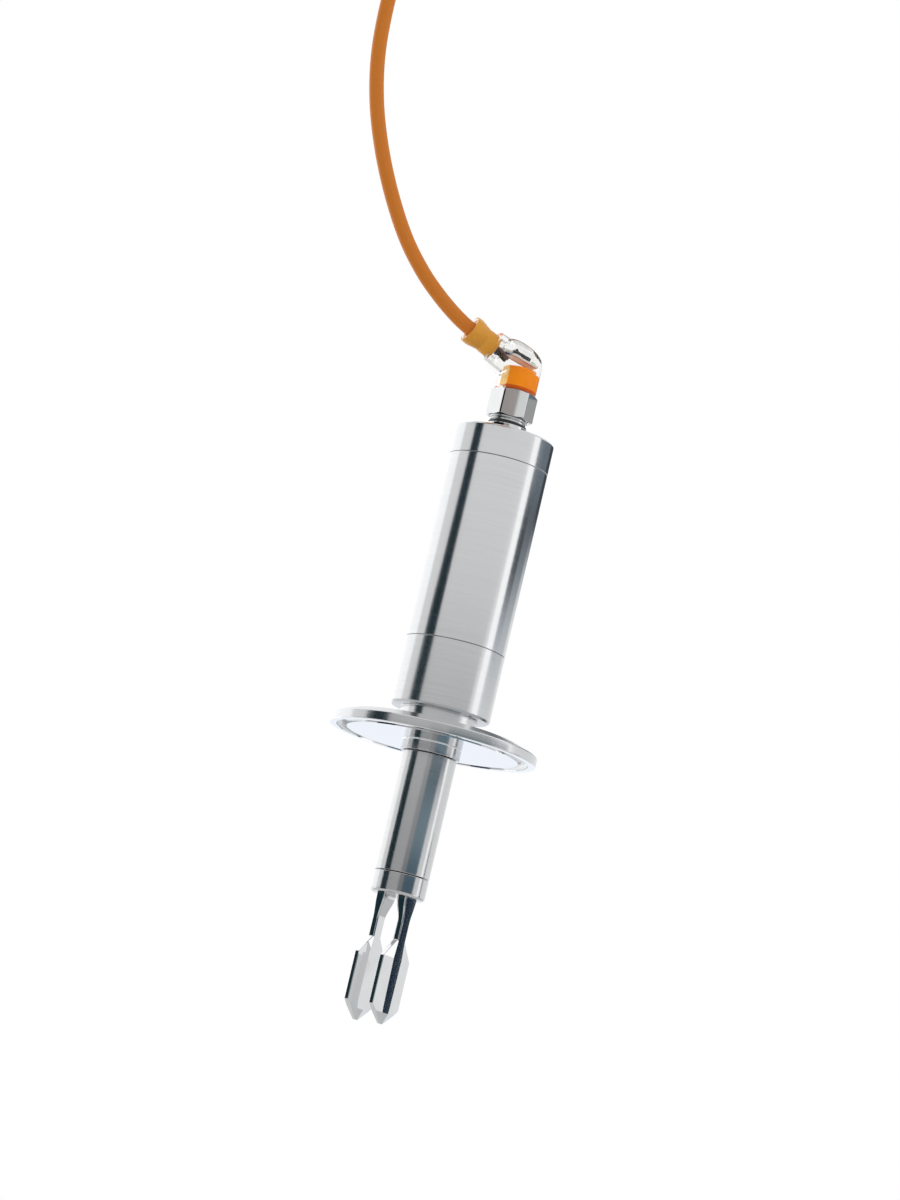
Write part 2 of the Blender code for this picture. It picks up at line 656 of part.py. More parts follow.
def make_socket(steel, plastic, gold):
    """The M12 socket: a stainless collar in the cover, its contact carrier and four pins."""
    turned(
        "socket_collar",
        [
            (THREAD_DIAMETER / 2 - THREAD_BEVEL, SOCKET_TOP),
            (THREAD_DIAMETER / 2, SOCKET_TOP - THREAD_BEVEL),
            (THREAD_DIAMETER / 2, THREAD_BOTTOM),
            (SHANK_RADIUS, THREAD_BOTTOM),
            (SHANK_RADIUS, SOCKET_GROOVE),
            (SOCKET_BASE_DIAMETER / 2, SOCKET_GROOVE),
            (SOCKET_BASE_DIAMETER / 2, SOCKET_BASE),
            (SHANK_RADIUS, SOCKET_BASE),
            (SHANK_RADIUS, SOCKET_BOTTOM),
            (CONTACT_BORE, SOCKET_BOTTOM),
            (CONTACT_BORE, CARRIER_SHOULDER),
            (SOCKET_MOUTH_DIAMETER / 2, CARRIER_SHOULDER),
            (SOCKET_MOUTH_DIAMETER / 2, SOCKET_TOP),
        ],
        BODY_SIDES,
        steel,
    )
    head = SOCKET_MOUTH_DIAMETER / 2 - SEAT_GAP
    body = CONTACT_CARRIER_DIAMETER / 2
    carrier = turned(
        "contact_carrier",
        [
            (0.0, CONTACT_FACE),
            (head, CONTACT_FACE),
            (head, CARRIER_SHOULDER + SEAT_GAP),
            (body, CARRIER_SHOULDER + SEAT_GAP),
            (body, CARRIER_SHOULDER - CONTACT_CARRIER_LENGTH),
            (0.0, CARRIER_SHOULDER - CONTACT_CARRIER_LENGTH),
        ],
        SMALL_SIDES,
        plastic,
    )
    pin = PIN_DIAMETER / 2
    for i, place in enumerate(contact_places()):
        hole = rod(f"pin_hole_{i + 1}", pin + RUNNING_GAP, PIN_BOTTOM, PIN_TOP, TINY_SIDES, plastic, place)
        combine(carrier, hole, "DIFFERENCE")
        point = turned(
            f"contact_pin_{i + 1}",
            [(0.0, PIN_TOP), (pin / 2, PIN_TOP), (pin, PIN_TOP - pin), (pin, PIN_BOTTOM), (0.0, PIN_BOTTOM)],
            TINY_SIDES,
            gold,
        )
        point.location = (*place, 0.0)


def make_nut(steel):
    """The union nut: a hexagon bar cut to a turned form with bevelled corners, bore and lip."""
    corner = NUT_FLATS / 2 / math.cos(math.pi / 6)
    flat = NUT_FLATS / 2
    bore = THREAD_DIAMETER / 2 + RUNNING_GAP
    # The bevel meets the flats' middles and cuts the corners back.
    drop = (corner - flat) * math.tan(math.radians(NUT_BEVEL_DEG))
    form = turned(
        "nut_form",
        [
            (flat, NUT_TOP),
            (corner + SEAT_GAP, NUT_TOP - drop),
            (corner + SEAT_GAP, NUT_BOTTOM + drop),
            (flat, NUT_BOTTOM),
            (bore, NUT_BOTTOM),
            (bore, NUT_TOP - NUT_LIP),
            (NUT_LIP_BORE / 2, NUT_TOP - NUT_LIP),
            (NUT_LIP_BORE / 2, NUT_TOP),
        ],
        BODY_SIDES,
        steel,
    )
    nut = prism("coupling_nut", hexagon(NUT_FLATS, NUT_TURN_DEG), NUT_LENGTH + 2 * SEAT_GAP, steel)
    nut.location = (0.0, 0.0, NUT_BOTTOM - SEAT_GAP)
    combine(nut, form, "INTERSECT")


def make_plug(clear, orange, black_plastic, gold, rubber, amber, board_green, led_finishes):
    """The angled plug: contact holder, clear elbow, orange block and the signal lights between them."""
    nose = HOLDER_NOSE_DIAMETER / 2
    nose_end = CONTACT_FACE + SEAT_GAP
    holder = turned(
        "contact_holder",
        [
            (0.0, ELBOW_BOTTOM),
            (HOLDER_NECK_DIAMETER / 2, ELBOW_BOTTOM),
            (HOLDER_NECK_DIAMETER / 2, FLANGE_TOP),
            (HOLDER_FLANGE_DIAMETER / 2, FLANGE_TOP),
            (HOLDER_FLANGE_DIAMETER / 2, FLANGE_BOTTOM),
            (nose, FLANGE_BOTTOM),
            (nose, nose_end),
            (0.0, nose_end),
        ],
        SMALL_SIDES,
        black_plastic,
    )
    contact = SOCKET_CONTACT_DIAMETER / 2
    contact_top = FLANGE_TOP - SEAT_GAP
    for i, place in enumerate(contact_places()):
        hole = rod(
            f"contact_hole_{i + 1}",
            contact + RUNNING_GAP,
            nose_end - CUTTER_REACH,
            contact_top + RUNNING_GAP,
            TINY_SIDES,
            black_plastic,
            place,
        )
        combine(holder, hole, "DIFFERENCE")
        tube(
            f"socket_contact_{i + 1}",
            contact,
            PIN_DIAMETER / 2 + RUNNING_GAP,
            nose_end + SEAT_GAP,
            contact_top,
            TINY_SIDES,
            gold,
            place,
        )
    seal_height = SOCKET_TOP + (FLANGE_BOTTOM - SOCKET_TOP) / 2
    ring_cord("plug_seal", PLUG_SEAL_DIAMETER / 2, PLUG_SEAL_CORD / 2, seal_height, SMALL_SIDES, rubber)

    make_elbow(clear)
    core_radius = ELBOW_BORE_DIAMETER / 2 - SEAT_GAP
    rod("plug_core", core_radius, CORE_BOTTOM, CORE_TOP, SMALL_SIDES, orange)
    make_signal_lights(board_green, led_finishes, black_plastic)

    fit = ARM_BORE_DIAMETER / 2 - SEAT_GAP
    bore = CABLE_RADIUS + SEAT_GAP
    flare = SLEEVE_FLARE_DIAMETER / 2
    sleeve = turned(
        "cable_sleeve",
        [
            (flare - HOUSING_BEVEL, SLEEVE_END),
            (flare, SLEEVE_END - HOUSING_BEVEL),
            (flare, SLEEVE_END - SLEEVE_RIM),
            (fit, SLEEVE_FLARE_START),
            (fit, SLEEVE_START),
            (bore, SLEEVE_START),
            (bore, SLEEVE_END),
        ],
        SMALL_SIDES,
        amber,
    )
    along_arm(sleeve)


def slope_top(obj, above):
    """Tilts everything above a height parallel to the arm, as a shear that keeps the sides upright."""
    for vertex in obj.data.vertices:
        if vertex.co.z > above:
            vertex.co.z += math.tan(ARM_RISE) * vertex.co.dot(ARM_OUT)


def make_elbow(clear):
    """The clear elbow: an upright barrel with a sloping top and a tapered arm, both bored through."""
    radius = ELBOW_DIAMETER / 2
    barrel = turned(
        "plug_elbow",
        [(0.0, ELBOW_BOTTOM), (radius, ELBOW_BOTTOM)]
        + arc((radius - ELBOW_TOP_RADIUS, ELBOW_TOP - ELBOW_TOP_RADIUS), ELBOW_TOP_RADIUS, 0, 90)
        + [(0.0, ELBOW_TOP)],
        SMALL_SIDES,
        clear,
    )
    slope_top(barrel, ELBOW_BOTTOM)
    arm = turned(
        "arm_guide",
        [(0.0, 0.0), (ARM_ROOT_DIAMETER / 2, 0.0), (ARM_END_DIAMETER / 2, ARM_LENGTH), (0.0, ARM_LENGTH)],
        SMALL_SIDES,
        clear,
    )
    along_arm(arm)
    combine(barrel, arm, "UNION")
    bore_bottom = ELBOW_BOTTOM - CUTTER_REACH
    bore_top = ELBOW_TOP - ELBOW_ROOF
    upright_bore = rod("elbow_bore", ELBOW_BORE_DIAMETER / 2, bore_bottom, bore_top, SMALL_SIDES, clear)
    slope_top(upright_bore, ELBOW_BOTTOM)
    combine(barrel, upright_bore, "DIFFERENCE")
    arm_bore = rod("arm_bore", ARM_BORE_DIAMETER / 2, 0.0, ARM_LENGTH + CUTTER_REACH, SMALL_SIDES, clear)
    along_arm(arm_bore)
    combine(barrel, arm_bore, "DIFFERENCE")


def make_signal_lights(board_green, led_finishes, chip_black):
    """A small board with a driver chip and two lights. It leans over the orange block towards the arm."""
    tilt = math.radians(LED_BOARD_TILT_DEG)
    top = LED_BOARD_SIZE[2] / 2 + STACK_GAP  # in the board's own frame, which is centred on it
    half_length = LED_BOARD_SIZE[0] / 2
    half_thickness = LED_BOARD_SIZE[2] / 2
    # The board's lower end clears the block by a seat gap.
    middle = CORE_TOP + SEAT_GAP + half_length * math.sin(tilt) + half_thickness * math.cos(tilt)
    lean = Matrix.Rotation(ARM_AZIMUTH, 4, "Z") @ Matrix.Rotation(-tilt, 4, "Y")
    pieces = [box("led_board", LED_BOARD_SIZE, (0.0, 0.0, 0.0), board_green)]
    driver_place = (LED_DRIVER_PLACE, 0.0, top + LED_DRIVER_SIZE[2] / 2)
    pieces.append(box("led_driver", LED_DRIVER_SIZE, driver_place, chip_black))
    for name, side, material in (("led_green", 1, led_finishes[0]), ("led_yellow", -1, led_finishes[1])):
        place = (LED_PLACE[0], side * LED_PLACE[1], top + LED_SIZE[2] / 2)
        pieces.append(box(name, LED_SIZE, place, material))
    for piece in pieces:
        piece.matrix_world = Matrix.Translation((0.0, 0.0, middle)) @ lean


def coil_matrix():
    """The coil's own frame: its axis is Z, X points out along the arm's side and Y up."""
    up = Vector((0.0, 0.0, 1.0))
    frame = Matrix((ARM_OUT, up, ARM_OUT.cross(up))).transposed().to_4x4()
    return Matrix.Translation(ARM_OUT * COIL_CENTRE_OUT + up * COIL_HEIGHT) @ frame


def make_cable(orange, strap, core_finishes):
    """The cable: the photographed rise, the neat coil above it, and a bare end with four cores."""
    clamped = np.linspace(SLEEVE_START + CABLE_RADIUS, SLEEVE_END, 4)
    lead = [ARM_ORIGIN + ARM_AXIS * run for run in clamped]
    lead += [ARM_OUT * out + Vector((0.0, 0.0, height)) for out, height in CABLE_ROUTE]
    cord("cable_lead", smooth_route(lead, LEAD_POINTS), CABLE_RADIUS, orange)

    # The ring's section is what the turns fill: full layers, and one turn more on the inside at the front.
    outer = COIL_OUTER_TURN_RADIUS + CABLE_RADIUS
    inner = COIL_OUTER_TURN_RADIUS - (COIL_LAYERS - 1) * COIL_LAYER_PITCH - CABLE_RADIUS
    last = inner - COIL_LAYER_PITCH
    depth = (COIL_COLUMNS - 1) * COIL_TURN_PITCH + 2 * CABLE_RADIUS
    corner = CABLE_RADIUS
    front = -CABLE_RADIUS
    back = depth - CABLE_RADIUS
    section = arc((outer - corner, back - corner), corner, 90, 0)
    section += arc((outer - corner, front + corner), corner, 0, -90)
    section += arc((last + corner, front + corner), corner, -90, -180)
    section += [(last + corner / 2, front + 2 * corner), (inner, front + 2 * corner)]
    section += arc((inner + corner, back - corner), corner, 180, 90)
    coil = turned("cable_coil", section, BODY_SIDES, orange)
    coil.matrix_world = coil_matrix()

    turn_radius = COIL_OUTER_TURN_RADIUS - COIL_LAYERS * COIL_LAYER_PITCH
    flank = front - SEAT_GAP - CABLE_RADIUS
    leave = math.pi - math.radians(TAIL_LEAVES_DEG)
    start = Vector((turn_radius * math.cos(leave), turn_radius * math.sin(leave), flank))
    heading = Vector((-math.sin(leave), math.cos(leave), 0.0))
    tail = [coil_matrix() @ (start + heading * run) for run in np.linspace(0.0, TAIL_STRAIGHT, TAIL_POINTS)]
    cord("cable_tail", tail, CABLE_RADIUS, orange)
    make_cores(start + heading * TAIL_STRAIGHT, heading, core_finishes)
    make_tie(inner, outer, front, back, strap)


def make_cores(end, heading, core_finishes):
    """Four insulated cores that splay a little from the jacket's end."""
    across = Vector((-heading.y, heading.x, 0.0))
    splay = math.radians(CORE_SPLAY_DEG)
    for i, material in enumerate(core_finishes):
        angle = math.pi / 4 + i * math.pi / 2
        side = across * math.cos(angle) + Vector((0.0, 0.0, math.sin(angle)))
        along = heading * math.cos(splay) + side * math.sin(splay)
        first = end + heading * SEAT_GAP + side * CORE_DIAMETER
        points = [coil_matrix() @ (first + along * run) for run in np.linspace(0.0, CORE_LENGTH, CORE_POINTS)]
        cord(f"cable_core_{i + 1}", points, CORE_DIAMETER / 2, material, 1)


def make_tie(inner, outer, front, back, strap):
    """A strap round the top of the coil, with the loop that the coil hangs by."""
    last = inner - COIL_LAYER_PITCH
    gap = SEAT_GAP
    # The turns curve away below the strap's two edges, so the window reaches down to them.
    low = math.sqrt(last**2 - (TIE_WIDTH / 2) ** 2) - gap
    high = outer + gap

    def frame(grow):
        left = front - gap - grow
        right = back + gap + grow
        bottom = low - grow
        top = high + grow
        return [(left, bottom), (right, bottom), (right, top), (left, top)]

    strap_ring = prism("coil_tie", frame(TIE_THICKNESS), TIE_WIDTH, strap)
    window = prism("tie_window", frame(0.0), TIE_WIDTH + 4 * gap, strap)
    loop_radius = TIE_LOOP_DIAMETER / 2
    loop_height = high + loop_radius + TIE_THICKNESS / 2
    loop = tube("tie_loop", loop_radius, loop_radius - TIE_THICKNESS, 0.0, TIE_WIDTH, SMALL_SIDES, strap)
    combine(strap_ring, window, "DIFFERENCE")
    combine(strap_ring, loop, "UNION")
    # The outlines lie across the cord's bundle: their X is the coil's axis, their Y is up.
    across = Matrix(((0, 0, 1, 0), (0, 1, 0, 0), (1, 0, 0, 0), (0, 0, 0, 1)))
    strap_ring.matrix_world = coil_matrix() @ Matrix.Translation((-TIE_WIDTH / 2, 0, 0)) @ across
    window.matrix_world = coil_matrix() @ Matrix.Translation((-TIE_WIDTH / 2 - 2 * gap, 0, 0)) @ across
    middle = Matrix.Translation(((front + back) / 2, loop_height, 0.0))
    loop.matrix_world = coil_matrix() @ Matrix.Translation((-TIE_WIDTH / 2, 0, 0)) @ across @ middle


def main():
    clear_scene()
    steel = finish("stainless_steel", (0.62, 0.63, 0.64), 0.28, 1.0)
    gold = finish("gold_plated_brass", (0.83, 0.62, 0.28), 0.25, 1.0)
    copper = finish("copper_winding", (0.72, 0.36, 0.18), 0.35, 1.0)
    rubber = finish("black_rubber", (0.02, 0.02, 0.02), 0.6, 0.0)
    black = finish("black_plastic", (0.03, 0.03, 0.03), 0.45, 0.0)
    grey = finish("aluminium_can", (0.55, 0.56, 0.58), 0.35, 1.0)
    white_ceramic = finish("white_ceramic", (0.85, 0.84, 0.80), 0.4, 0.0)
    piezo = finish("piezo_ceramic", (0.42, 0.40, 0.34), 0.5, 0.0)
    board = finish("board_green", (0.03, 0.22, 0.09), 0.4, 0.0)
    clear = finish("clear_plastic", (0.95, 0.96, 0.97), 0.08, 0.0, transmission=1.0)
    orange = finish("orange_plastic", (0.85, 0.26, 0.03), 0.4, 0.0)
    amber = finish("amber_plastic", (0.72, 0.38, 0.08), 0.3, 0.0)
    cable = finish("orange_cable", (0.62, 0.17, 0.02), 0.5, 0.0)
    green_led = finish("green_led", (0.3, 0.8, 0.4), 0.3, 0.0)
    yellow_led = finish("yellow_led", (0.9, 0.7, 0.1), 0.3, 0.0)
    red_wire = finish("red_wire", (0.6, 0.03, 0.03), 0.4, 0.0)
    blue_wire = finish("blue_wire", (0.04, 0.1, 0.5), 0.4, 0.0)
    brown_core = finish("brown_core", (0.16, 0.07, 0.03), 0.45, 0.0)
    white_core = finish("white_core", (0.85, 0.85, 0.83), 0.45, 0.0)
    make_clamp_adapter(steel)
    make_housing(steel, rubber)
    make_pipe(steel)
    make_fork(steel)
    make_drive(white_ceramic, copper, piezo, steel, (red_wire, blue_wire))
    make_electronics(black, board, black, copper, grey)
    make_socket(steel, black, gold)
    make_nut(steel)
    make_plug(clear, orange, black, gold, rubber, amber, board, (green_led, yellow_led))
    make_cable(cable, black, (brown_core, white_core, blue_wire, black))


main()
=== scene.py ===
# %% [markdown]
# # A tuning fork level switch
#
# This switch tells a plant when a pipe or tank is full. Its two tines ring at a steady pitch in air and
# slow down in liquid. A clamp holds it by the wide ferrule, and a clear plug at the top carries its cable.
#
# The exact solids come from CAD as a frame that never moves. This script dresses them: it keeps each size
# and place, makes the seen pieces finer, and gives every piece a finish made of shader nodes.

# %% Load the frame
import math

import bmesh
import bpy
import numpy as np
from mathutils import Matrix, Vector


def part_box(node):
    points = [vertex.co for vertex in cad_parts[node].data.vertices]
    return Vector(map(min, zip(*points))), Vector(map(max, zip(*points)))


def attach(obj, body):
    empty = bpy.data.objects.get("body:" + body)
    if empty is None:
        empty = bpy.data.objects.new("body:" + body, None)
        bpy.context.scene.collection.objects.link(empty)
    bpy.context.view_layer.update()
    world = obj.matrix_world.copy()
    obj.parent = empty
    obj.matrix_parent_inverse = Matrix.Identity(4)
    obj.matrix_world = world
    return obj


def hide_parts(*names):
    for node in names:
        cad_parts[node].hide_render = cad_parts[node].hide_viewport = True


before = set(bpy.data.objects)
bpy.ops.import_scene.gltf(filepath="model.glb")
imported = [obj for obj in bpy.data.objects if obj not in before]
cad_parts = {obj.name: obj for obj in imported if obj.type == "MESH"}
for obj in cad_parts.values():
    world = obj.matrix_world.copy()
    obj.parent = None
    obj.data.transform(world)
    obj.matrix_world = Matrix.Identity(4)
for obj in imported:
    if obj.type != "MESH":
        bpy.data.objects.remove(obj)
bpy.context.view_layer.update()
print("CAD nodes:", len(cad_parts))


# %% [markdown]
# ## The camera
#
# The photograph looks a little upwards at the switch, which leans to one side in the picture. The switch
# itself stands upright here, as a part library wants it, so the camera rolls instead. A long lens from
# well over a metre away keeps the tube's sides nearly parallel.

# %% The camera
CAMERA_AZIMUTH = math.radians(38.0)
CAMERA_ELEVATION = math.radians(-9.69)
CAMERA_ROLL = math.radians(13.235)
CAMERA_DISTANCE = 1.3695
CAMERA_LENS = 135.0
CAMERA_RANGE = (0.01, 20.0)
AIM_SIDEWAYS = -0.00479
AIM_HEIGHT = 0.04466
UP = Vector((0.0, 0.0, 1.0))

photo_right = Vector((math.cos(CAMERA_AZIMUTH), math.sin(CAMERA_AZIMUTH), 0.0))
photo_front = Vector((math.sin(CAMERA_AZIMUTH), -math.cos(CAMERA_AZIMUTH), 0.0))


def put(name, data):
    """A new object in the scene."""
    obj = bpy.data.objects.new(name, data)
    bpy.context.scene.collection.objects.link(obj)
    return obj


def make_camera():
    towards = photo_front * math.cos(CAMERA_ELEVATION) + UP * math.sin(CAMERA_ELEVATION)
    level_up = towards.cross(photo_right)
    right = photo_right * math.cos(CAMERA_ROLL) + level_up * math.sin(CAMERA_ROLL)
    up = level_up * math.cos(CAMERA_ROLL) - photo_right * math.sin(CAMERA_ROLL)
    camera = put("camera", bpy.data.cameras.new("camera"))
    camera.data.lens = CAMERA_LENS
    camera.data.clip_start, camera.data.clip_end = CAMERA_RANGE
    turn = Matrix((right, up, towards)).transposed().to_4x4()
    eye = photo_right * AIM_SIDEWAYS + UP * AIM_HEIGHT + towards * CAMERA_DISTANCE
    camera.matrix_world = Matrix.Translation(eye) @ turn
    bpy.context.scene.camera = camera
    print("camera at", [round(x, 3) for x in eye])


make_camera()


# %% [markdown]
# ## Finishes as Python expressions
#
# A finish is a graph of nodes, and long graphs are hard to read as code. So one small class wraps a
# socket: adding or multiplying two of them makes the Math node. A second class holds a material and
# adds any other node with one method, which takes the node's type, its socket values and its settings. The
# Geometry Nodes trees further down are built with the same two helpers.


# %% Adding nodes
def feed(tree, socket, value):
    """Gives a socket a value, or a link from another socket or from a node's first output."""
    if isinstance(value, Value):
        value = value.socket
    if isinstance(value, bpy.types.Node):
        value = value.outputs[0]
    if isinstance(value, bpy.types.NodeSocket):
        tree.links.new(value, socket)
    else:
        socket.default_value = value


def add_node(tree, kind, values, stops=None, **settings):
    """Any node: settings and ramp stops first, then a value or a link for each socket."""
    node = tree.nodes.new(kind)
    for name, setting in settings.items():
        setattr(node, name, setting)
    if stops:
        ramp = node.color_ramp.elements
        ramp[0].position, ramp[0].color = stops[0]
        ramp[1].position, ramp[1].color = stops[-1]
        for place, colour in stops[1:-1]:
            ramp.new(place).color = colour
    for name, value in values.items():
        feed(tree, node.inputs[name], value)
    return node


# %% Values that vary
class Value:
    """A number that varies over a surface. Python's operators on it add Math nodes."""

    def __init__(self, finish, socket):
        self.finish = finish
        self.socket = socket

    def __add__(self, other):
        return self.finish.maths("ADD", self, other)

    def __sub__(self, other):
        return self.finish.maths("SUBTRACT", self, other)

    def __rsub__(self, other):
        return self.finish.maths("SUBTRACT", other, self)

    def __mul__(self, other):
        return self.finish.maths("MULTIPLY", self, other)

    __radd__ = __add__
    __rmul__ = __mul__

    def ramp(self, low, high):
        """0 below low and 1 above high, with a smooth step between them."""
        values = {"Value": self, "From Min": low, "From Max": high}
        node = self.finish.node("ShaderNodeMapRange", values, interpolation_type="SMOOTHSTEP")
        return Value(self.finish, node.outputs[0])


# %% Finishes
class Finish:
    """One material and its nodes."""

    def __init__(self, name):
        self.material = bpy.data.materials.new(name)
        self.material.use_nodes = True
        self.tree = self.material.node_tree
        self.shader = self.tree.nodes["Principled BSDF"]

    def node(self, kind, values, stops=None, **settings):
        return add_node(self.tree, kind, values, stops, **settings)

    def maths(self, operation, *values):
        """A Math node, also for operations that Python has no sign for."""
        node = self.node("ShaderNodeMath", dict(enumerate(values)), operation=operation)
        return Value(self, node.outputs[0])

    def place(self, scale, space="Object"):
        """Coordinates of the surface, stretched by one scale or by one for each direction."""
        scale = scale if isinstance(scale, tuple) else (scale, scale, scale)
        where = self.node("ShaderNodeTexCoord", {})
        return self.node("ShaderNodeMapping", {"Vector": where.outputs[space], "Scale": scale})

    def axis(self, letter):
        """How far along X, Y or Z the surface is."""
        where = self.node("ShaderNodeTexCoord", {})
        parts = self.node("ShaderNodeSeparateXYZ", {"Vector": where.outputs["Object"]})
        return Value(self, parts.outputs[letter])

    def noise(self, scale, detail=3.0, space="Object"):
        values = {"Vector": self.place(scale, space), "Scale": 1.0, "Detail": detail}
        return Value(self, self.node("ShaderNodeTexNoise", values).outputs[0])

    def mix(self, share, first, second):
        """A colour between two colours."""
        return self.node("ShaderNodeMix", {0: share, 6: first, 7: second}, data_type="RGBA").outputs[2]

    def bump(self, height, depth):
        """A normal that leans as the height does, where a height of 1 stands depth metres proud."""
        return self.node("ShaderNodeBump", {"Height": height, "Distance": depth})

    def done(self, **sockets):
        """Sets the shader's sockets, named with _ for a space, and returns the material."""
        for name, value in sockets.items():
            feed(self.tree, self.shader.inputs[name.replace("_", " ")], value)
        return self.material


def grey(level, blue=0.0):
    return (level, level * (1 + blue / 2), level * (1 + blue), 1.0)


# %% [markdown]
# ## Stainless steel
#
# The housing and pipe are turned on a lathe and brushed, which leaves fine rings round them. Rings only
# spread a reflection along the tube, so lamps and flags show as long upright bands. The noise is therefore
# stretched: many lines per millimetre along the axis, and hardly any change round it. Clouds of a
# few centimetres vary the roughness the way handling does.


# %% Steel finishes
RING_GRAIN = (30.0, 30.0, 2600.0)
HANDLING = (45.0, 45.0, 30.0)


def turned_steel(name, roughness, ring_depth, level=0.60):
    steel = Finish(name)
    rings = steel.noise(RING_GRAIN, 4.0)
    broad_rings = steel.noise((18.0, 18.0, 520.0), 2.0)
    clouds = steel.noise(HANDLING, 4.0)
    scratches = steel.noise((240.0, 240.0, 5200.0), 2.0).ramp(0.66, 0.76)
    shade = 0.55 * rings + 0.25 * broad_rings + 0.2 * clouds
    return steel.done(
        Base_Color=steel.mix(shade, grey(level * 0.90, 0.03), grey(level * 1.08, 0.02)),
        Metallic=1.0,
        Roughness=roughness + 0.06 * rings + 0.05 * clouds + 0.05 * scratches,
        Normal=steel.bump(0.7 * rings + 0.3 * broad_rings - 0.4 * scratches, ring_depth),
    )


def ferrule_steel():
    """Turned like the housing, but with the sealing face and its groove polished like a mirror."""
    steel = Finish("ferrule_steel")
    height = steel.axis("Z")
    rings = steel.noise(RING_GRAIN, 4.0)
    clouds = steel.noise(HANDLING, 4.0)
    sealing = height.ramp(-0.0003, -0.0001) * (1 - height.ramp(0.0001, 0.0003))
    turned = 1 - sealing
    shade = 0.6 * rings + 0.4 * clouds
    return steel.done(
        Base_Color=steel.mix(sealing, steel.mix(shade, grey(0.52, 0.03), grey(0.66, 0.02)), grey(0.80, 0.04)),
        Metallic=1.0,
        Roughness=turned * (0.11 + 0.07 * rings + 0.06 * clouds) + 0.06 * sealing,
        Normal=steel.bump(rings * turned, 0.000002),
    )


def polished_steel(name, roughness, level, depth):
    """Electropolished: smooth, with a faint orange peel depth metres deep and a few rubbed spots."""
    steel = Finish(name)
    peel = steel.noise((900.0, 900.0, 700.0), 2.0)
    clouds = steel.noise((160.0, 160.0, 110.0), 3.0)
    rubbed = steel.noise(60.0, 5.0).ramp(0.55, 0.75)
    return steel.done(
        Base_Color=steel.mix(clouds, grey(level * 0.90, 0.02), grey(level * 1.06, 0.02)),
        Metallic=1.0,
        Roughness=roughness + 0.02 * clouds + 0.03 * rubbed,
        Normal=steel.bump(peel, depth),
    )


# %% Steel for each piece
housing_steel = turned_steel("housing_steel", 0.10, 0.000002)
pipe_steel = turned_steel("pipe_steel", 0.11, 0.000003, 0.58)
ferrule_finish = ferrule_steel()
fork_steel = polished_steel("fork_steel", 0.03, 0.70, 0.000001)
nut_steel = polished_steel("nut_steel", 0.05, 0.62, 0.000002)
hidden_steel = turned_steel("inner_steel", 0.22, 0.000004)
print("steel finishes:", [m.name for m in bpy.data.materials if m.name.endswith("_steel")])


# %% [markdown]
# ## Plastics, cable and the parts inside
#
# The plug's body is clear, so light has to pass through it: transmission does that, and it is one number
# for the whole body. Its index is below a real plastic's, or light would circle in the thin walls until
# its path is cut short, and leave black streaks. The sleeve at the cable is amber. The cable's jacket is a
# soft plastic with a faint matte grain, and its pattern runs along the cable by the tube's own UV map.


# %% Plastic finishes
def moulded(name, colour, dark, roughness, grain, depth, **constants):
    """A moulded plastic with a fine grain and slow changes of tone."""
    plastic = Finish(name)
    fine = plastic.noise(grain)
    slow = plastic.noise(grain / 12)
    return plastic.done(
        Base_Color=plastic.mix(0.5 * fine + 0.5 * slow, (*dark, 1.0), (*colour, 1.0)),
        Roughness=roughness + 0.12 * fine,
        Normal=plastic.bump(fine, depth),
        **constants,
    )


# %% The cable's jacket
def cable_jacket():
    jacket = Finish("cable_jacket")
    streaks = jacket.noise((14.0, 9.0, 1.0), 3.0, "UV")
    grain = jacket.noise(1600.0, 2.0)
    scuffs = jacket.noise(90.0, 4.0).ramp(0.58, 0.78)
    tone = 0.55 * streaks + 0.45 * grain
    return jacket.done(
        Base_Color=jacket.mix(tone, (0.57, 0.158, 0.012, 1.0), (0.78, 0.25, 0.026, 1.0)),
        Roughness=0.40 + 0.12 * grain + 0.10 * scuffs,
        Normal=jacket.bump(grain, 0.000012),
        Specular_IOR_Level=0.16,
    )


# %% A plastic for each piece
clear_plastic = moulded(
    "clear_plastic", (0.965, 0.963, 0.955), (0.94, 0.937, 0.925), 0.01, 350.0, 0.000004,
    Transmission_Weight=1.0, IOR=1.19, Specular_IOR_Level=0.2,
)
frosted_plastic = moulded(
    "frosted_plastic", (0.99, 0.99, 0.98), (0.96, 0.96, 0.95), 0.05, 600.0, 0.000006,
    Transmission_Weight=1.0, IOR=1.20,
)
amber_plastic = moulded(
    "amber_plastic", (0.86, 0.40, 0.045), (0.70, 0.28, 0.020), 0.28, 500.0, 0.000006,
    Specular_IOR_Level=0.25,
)
black_plastic = moulded("black_plastic", (0.035, 0.035, 0.035), (0.015, 0.015, 0.015), 0.38, 1500.0, 0.00001)
black_rubber = moulded("black_rubber", (0.03, 0.03, 0.03), (0.012, 0.012, 0.012), 0.55, 1800.0, 0.00001)
white_ceramic = moulded("white_ceramic", (0.86, 0.85, 0.81), (0.78, 0.77, 0.72), 0.30, 1200.0, 0.000006)
piezo_ceramic = moulded("piezo_ceramic", (0.46, 0.43, 0.36), (0.34, 0.32, 0.26), 0.42, 1600.0, 0.000008)
board_white = moulded("board_white", (0.86, 0.86, 0.84), (0.72, 0.72, 0.69), 0.30, 900.0, 0.000008)
board_green = moulded("board_green", (0.03, 0.24, 0.10), (0.02, 0.15, 0.06), 0.30, 900.0, 0.000008)
green_light = moulded("green_light", (0.78, 0.90, 0.80), (0.62, 0.78, 0.66), 0.12, 900.0, 0.000004)
yellow_light = moulded("yellow_light", (0.93, 0.88, 0.66), (0.84, 0.77, 0.48), 0.12, 900.0, 0.000004)
red_wire = moulded("red_wire", (0.62, 0.03, 0.03), (0.40, 0.02, 0.02), 0.35, 1200.0, 0.000008)
blue_wire = moulded("blue_wire", (0.04, 0.10, 0.50), (0.02, 0.06, 0.32), 0.35, 1200.0, 0.000008)
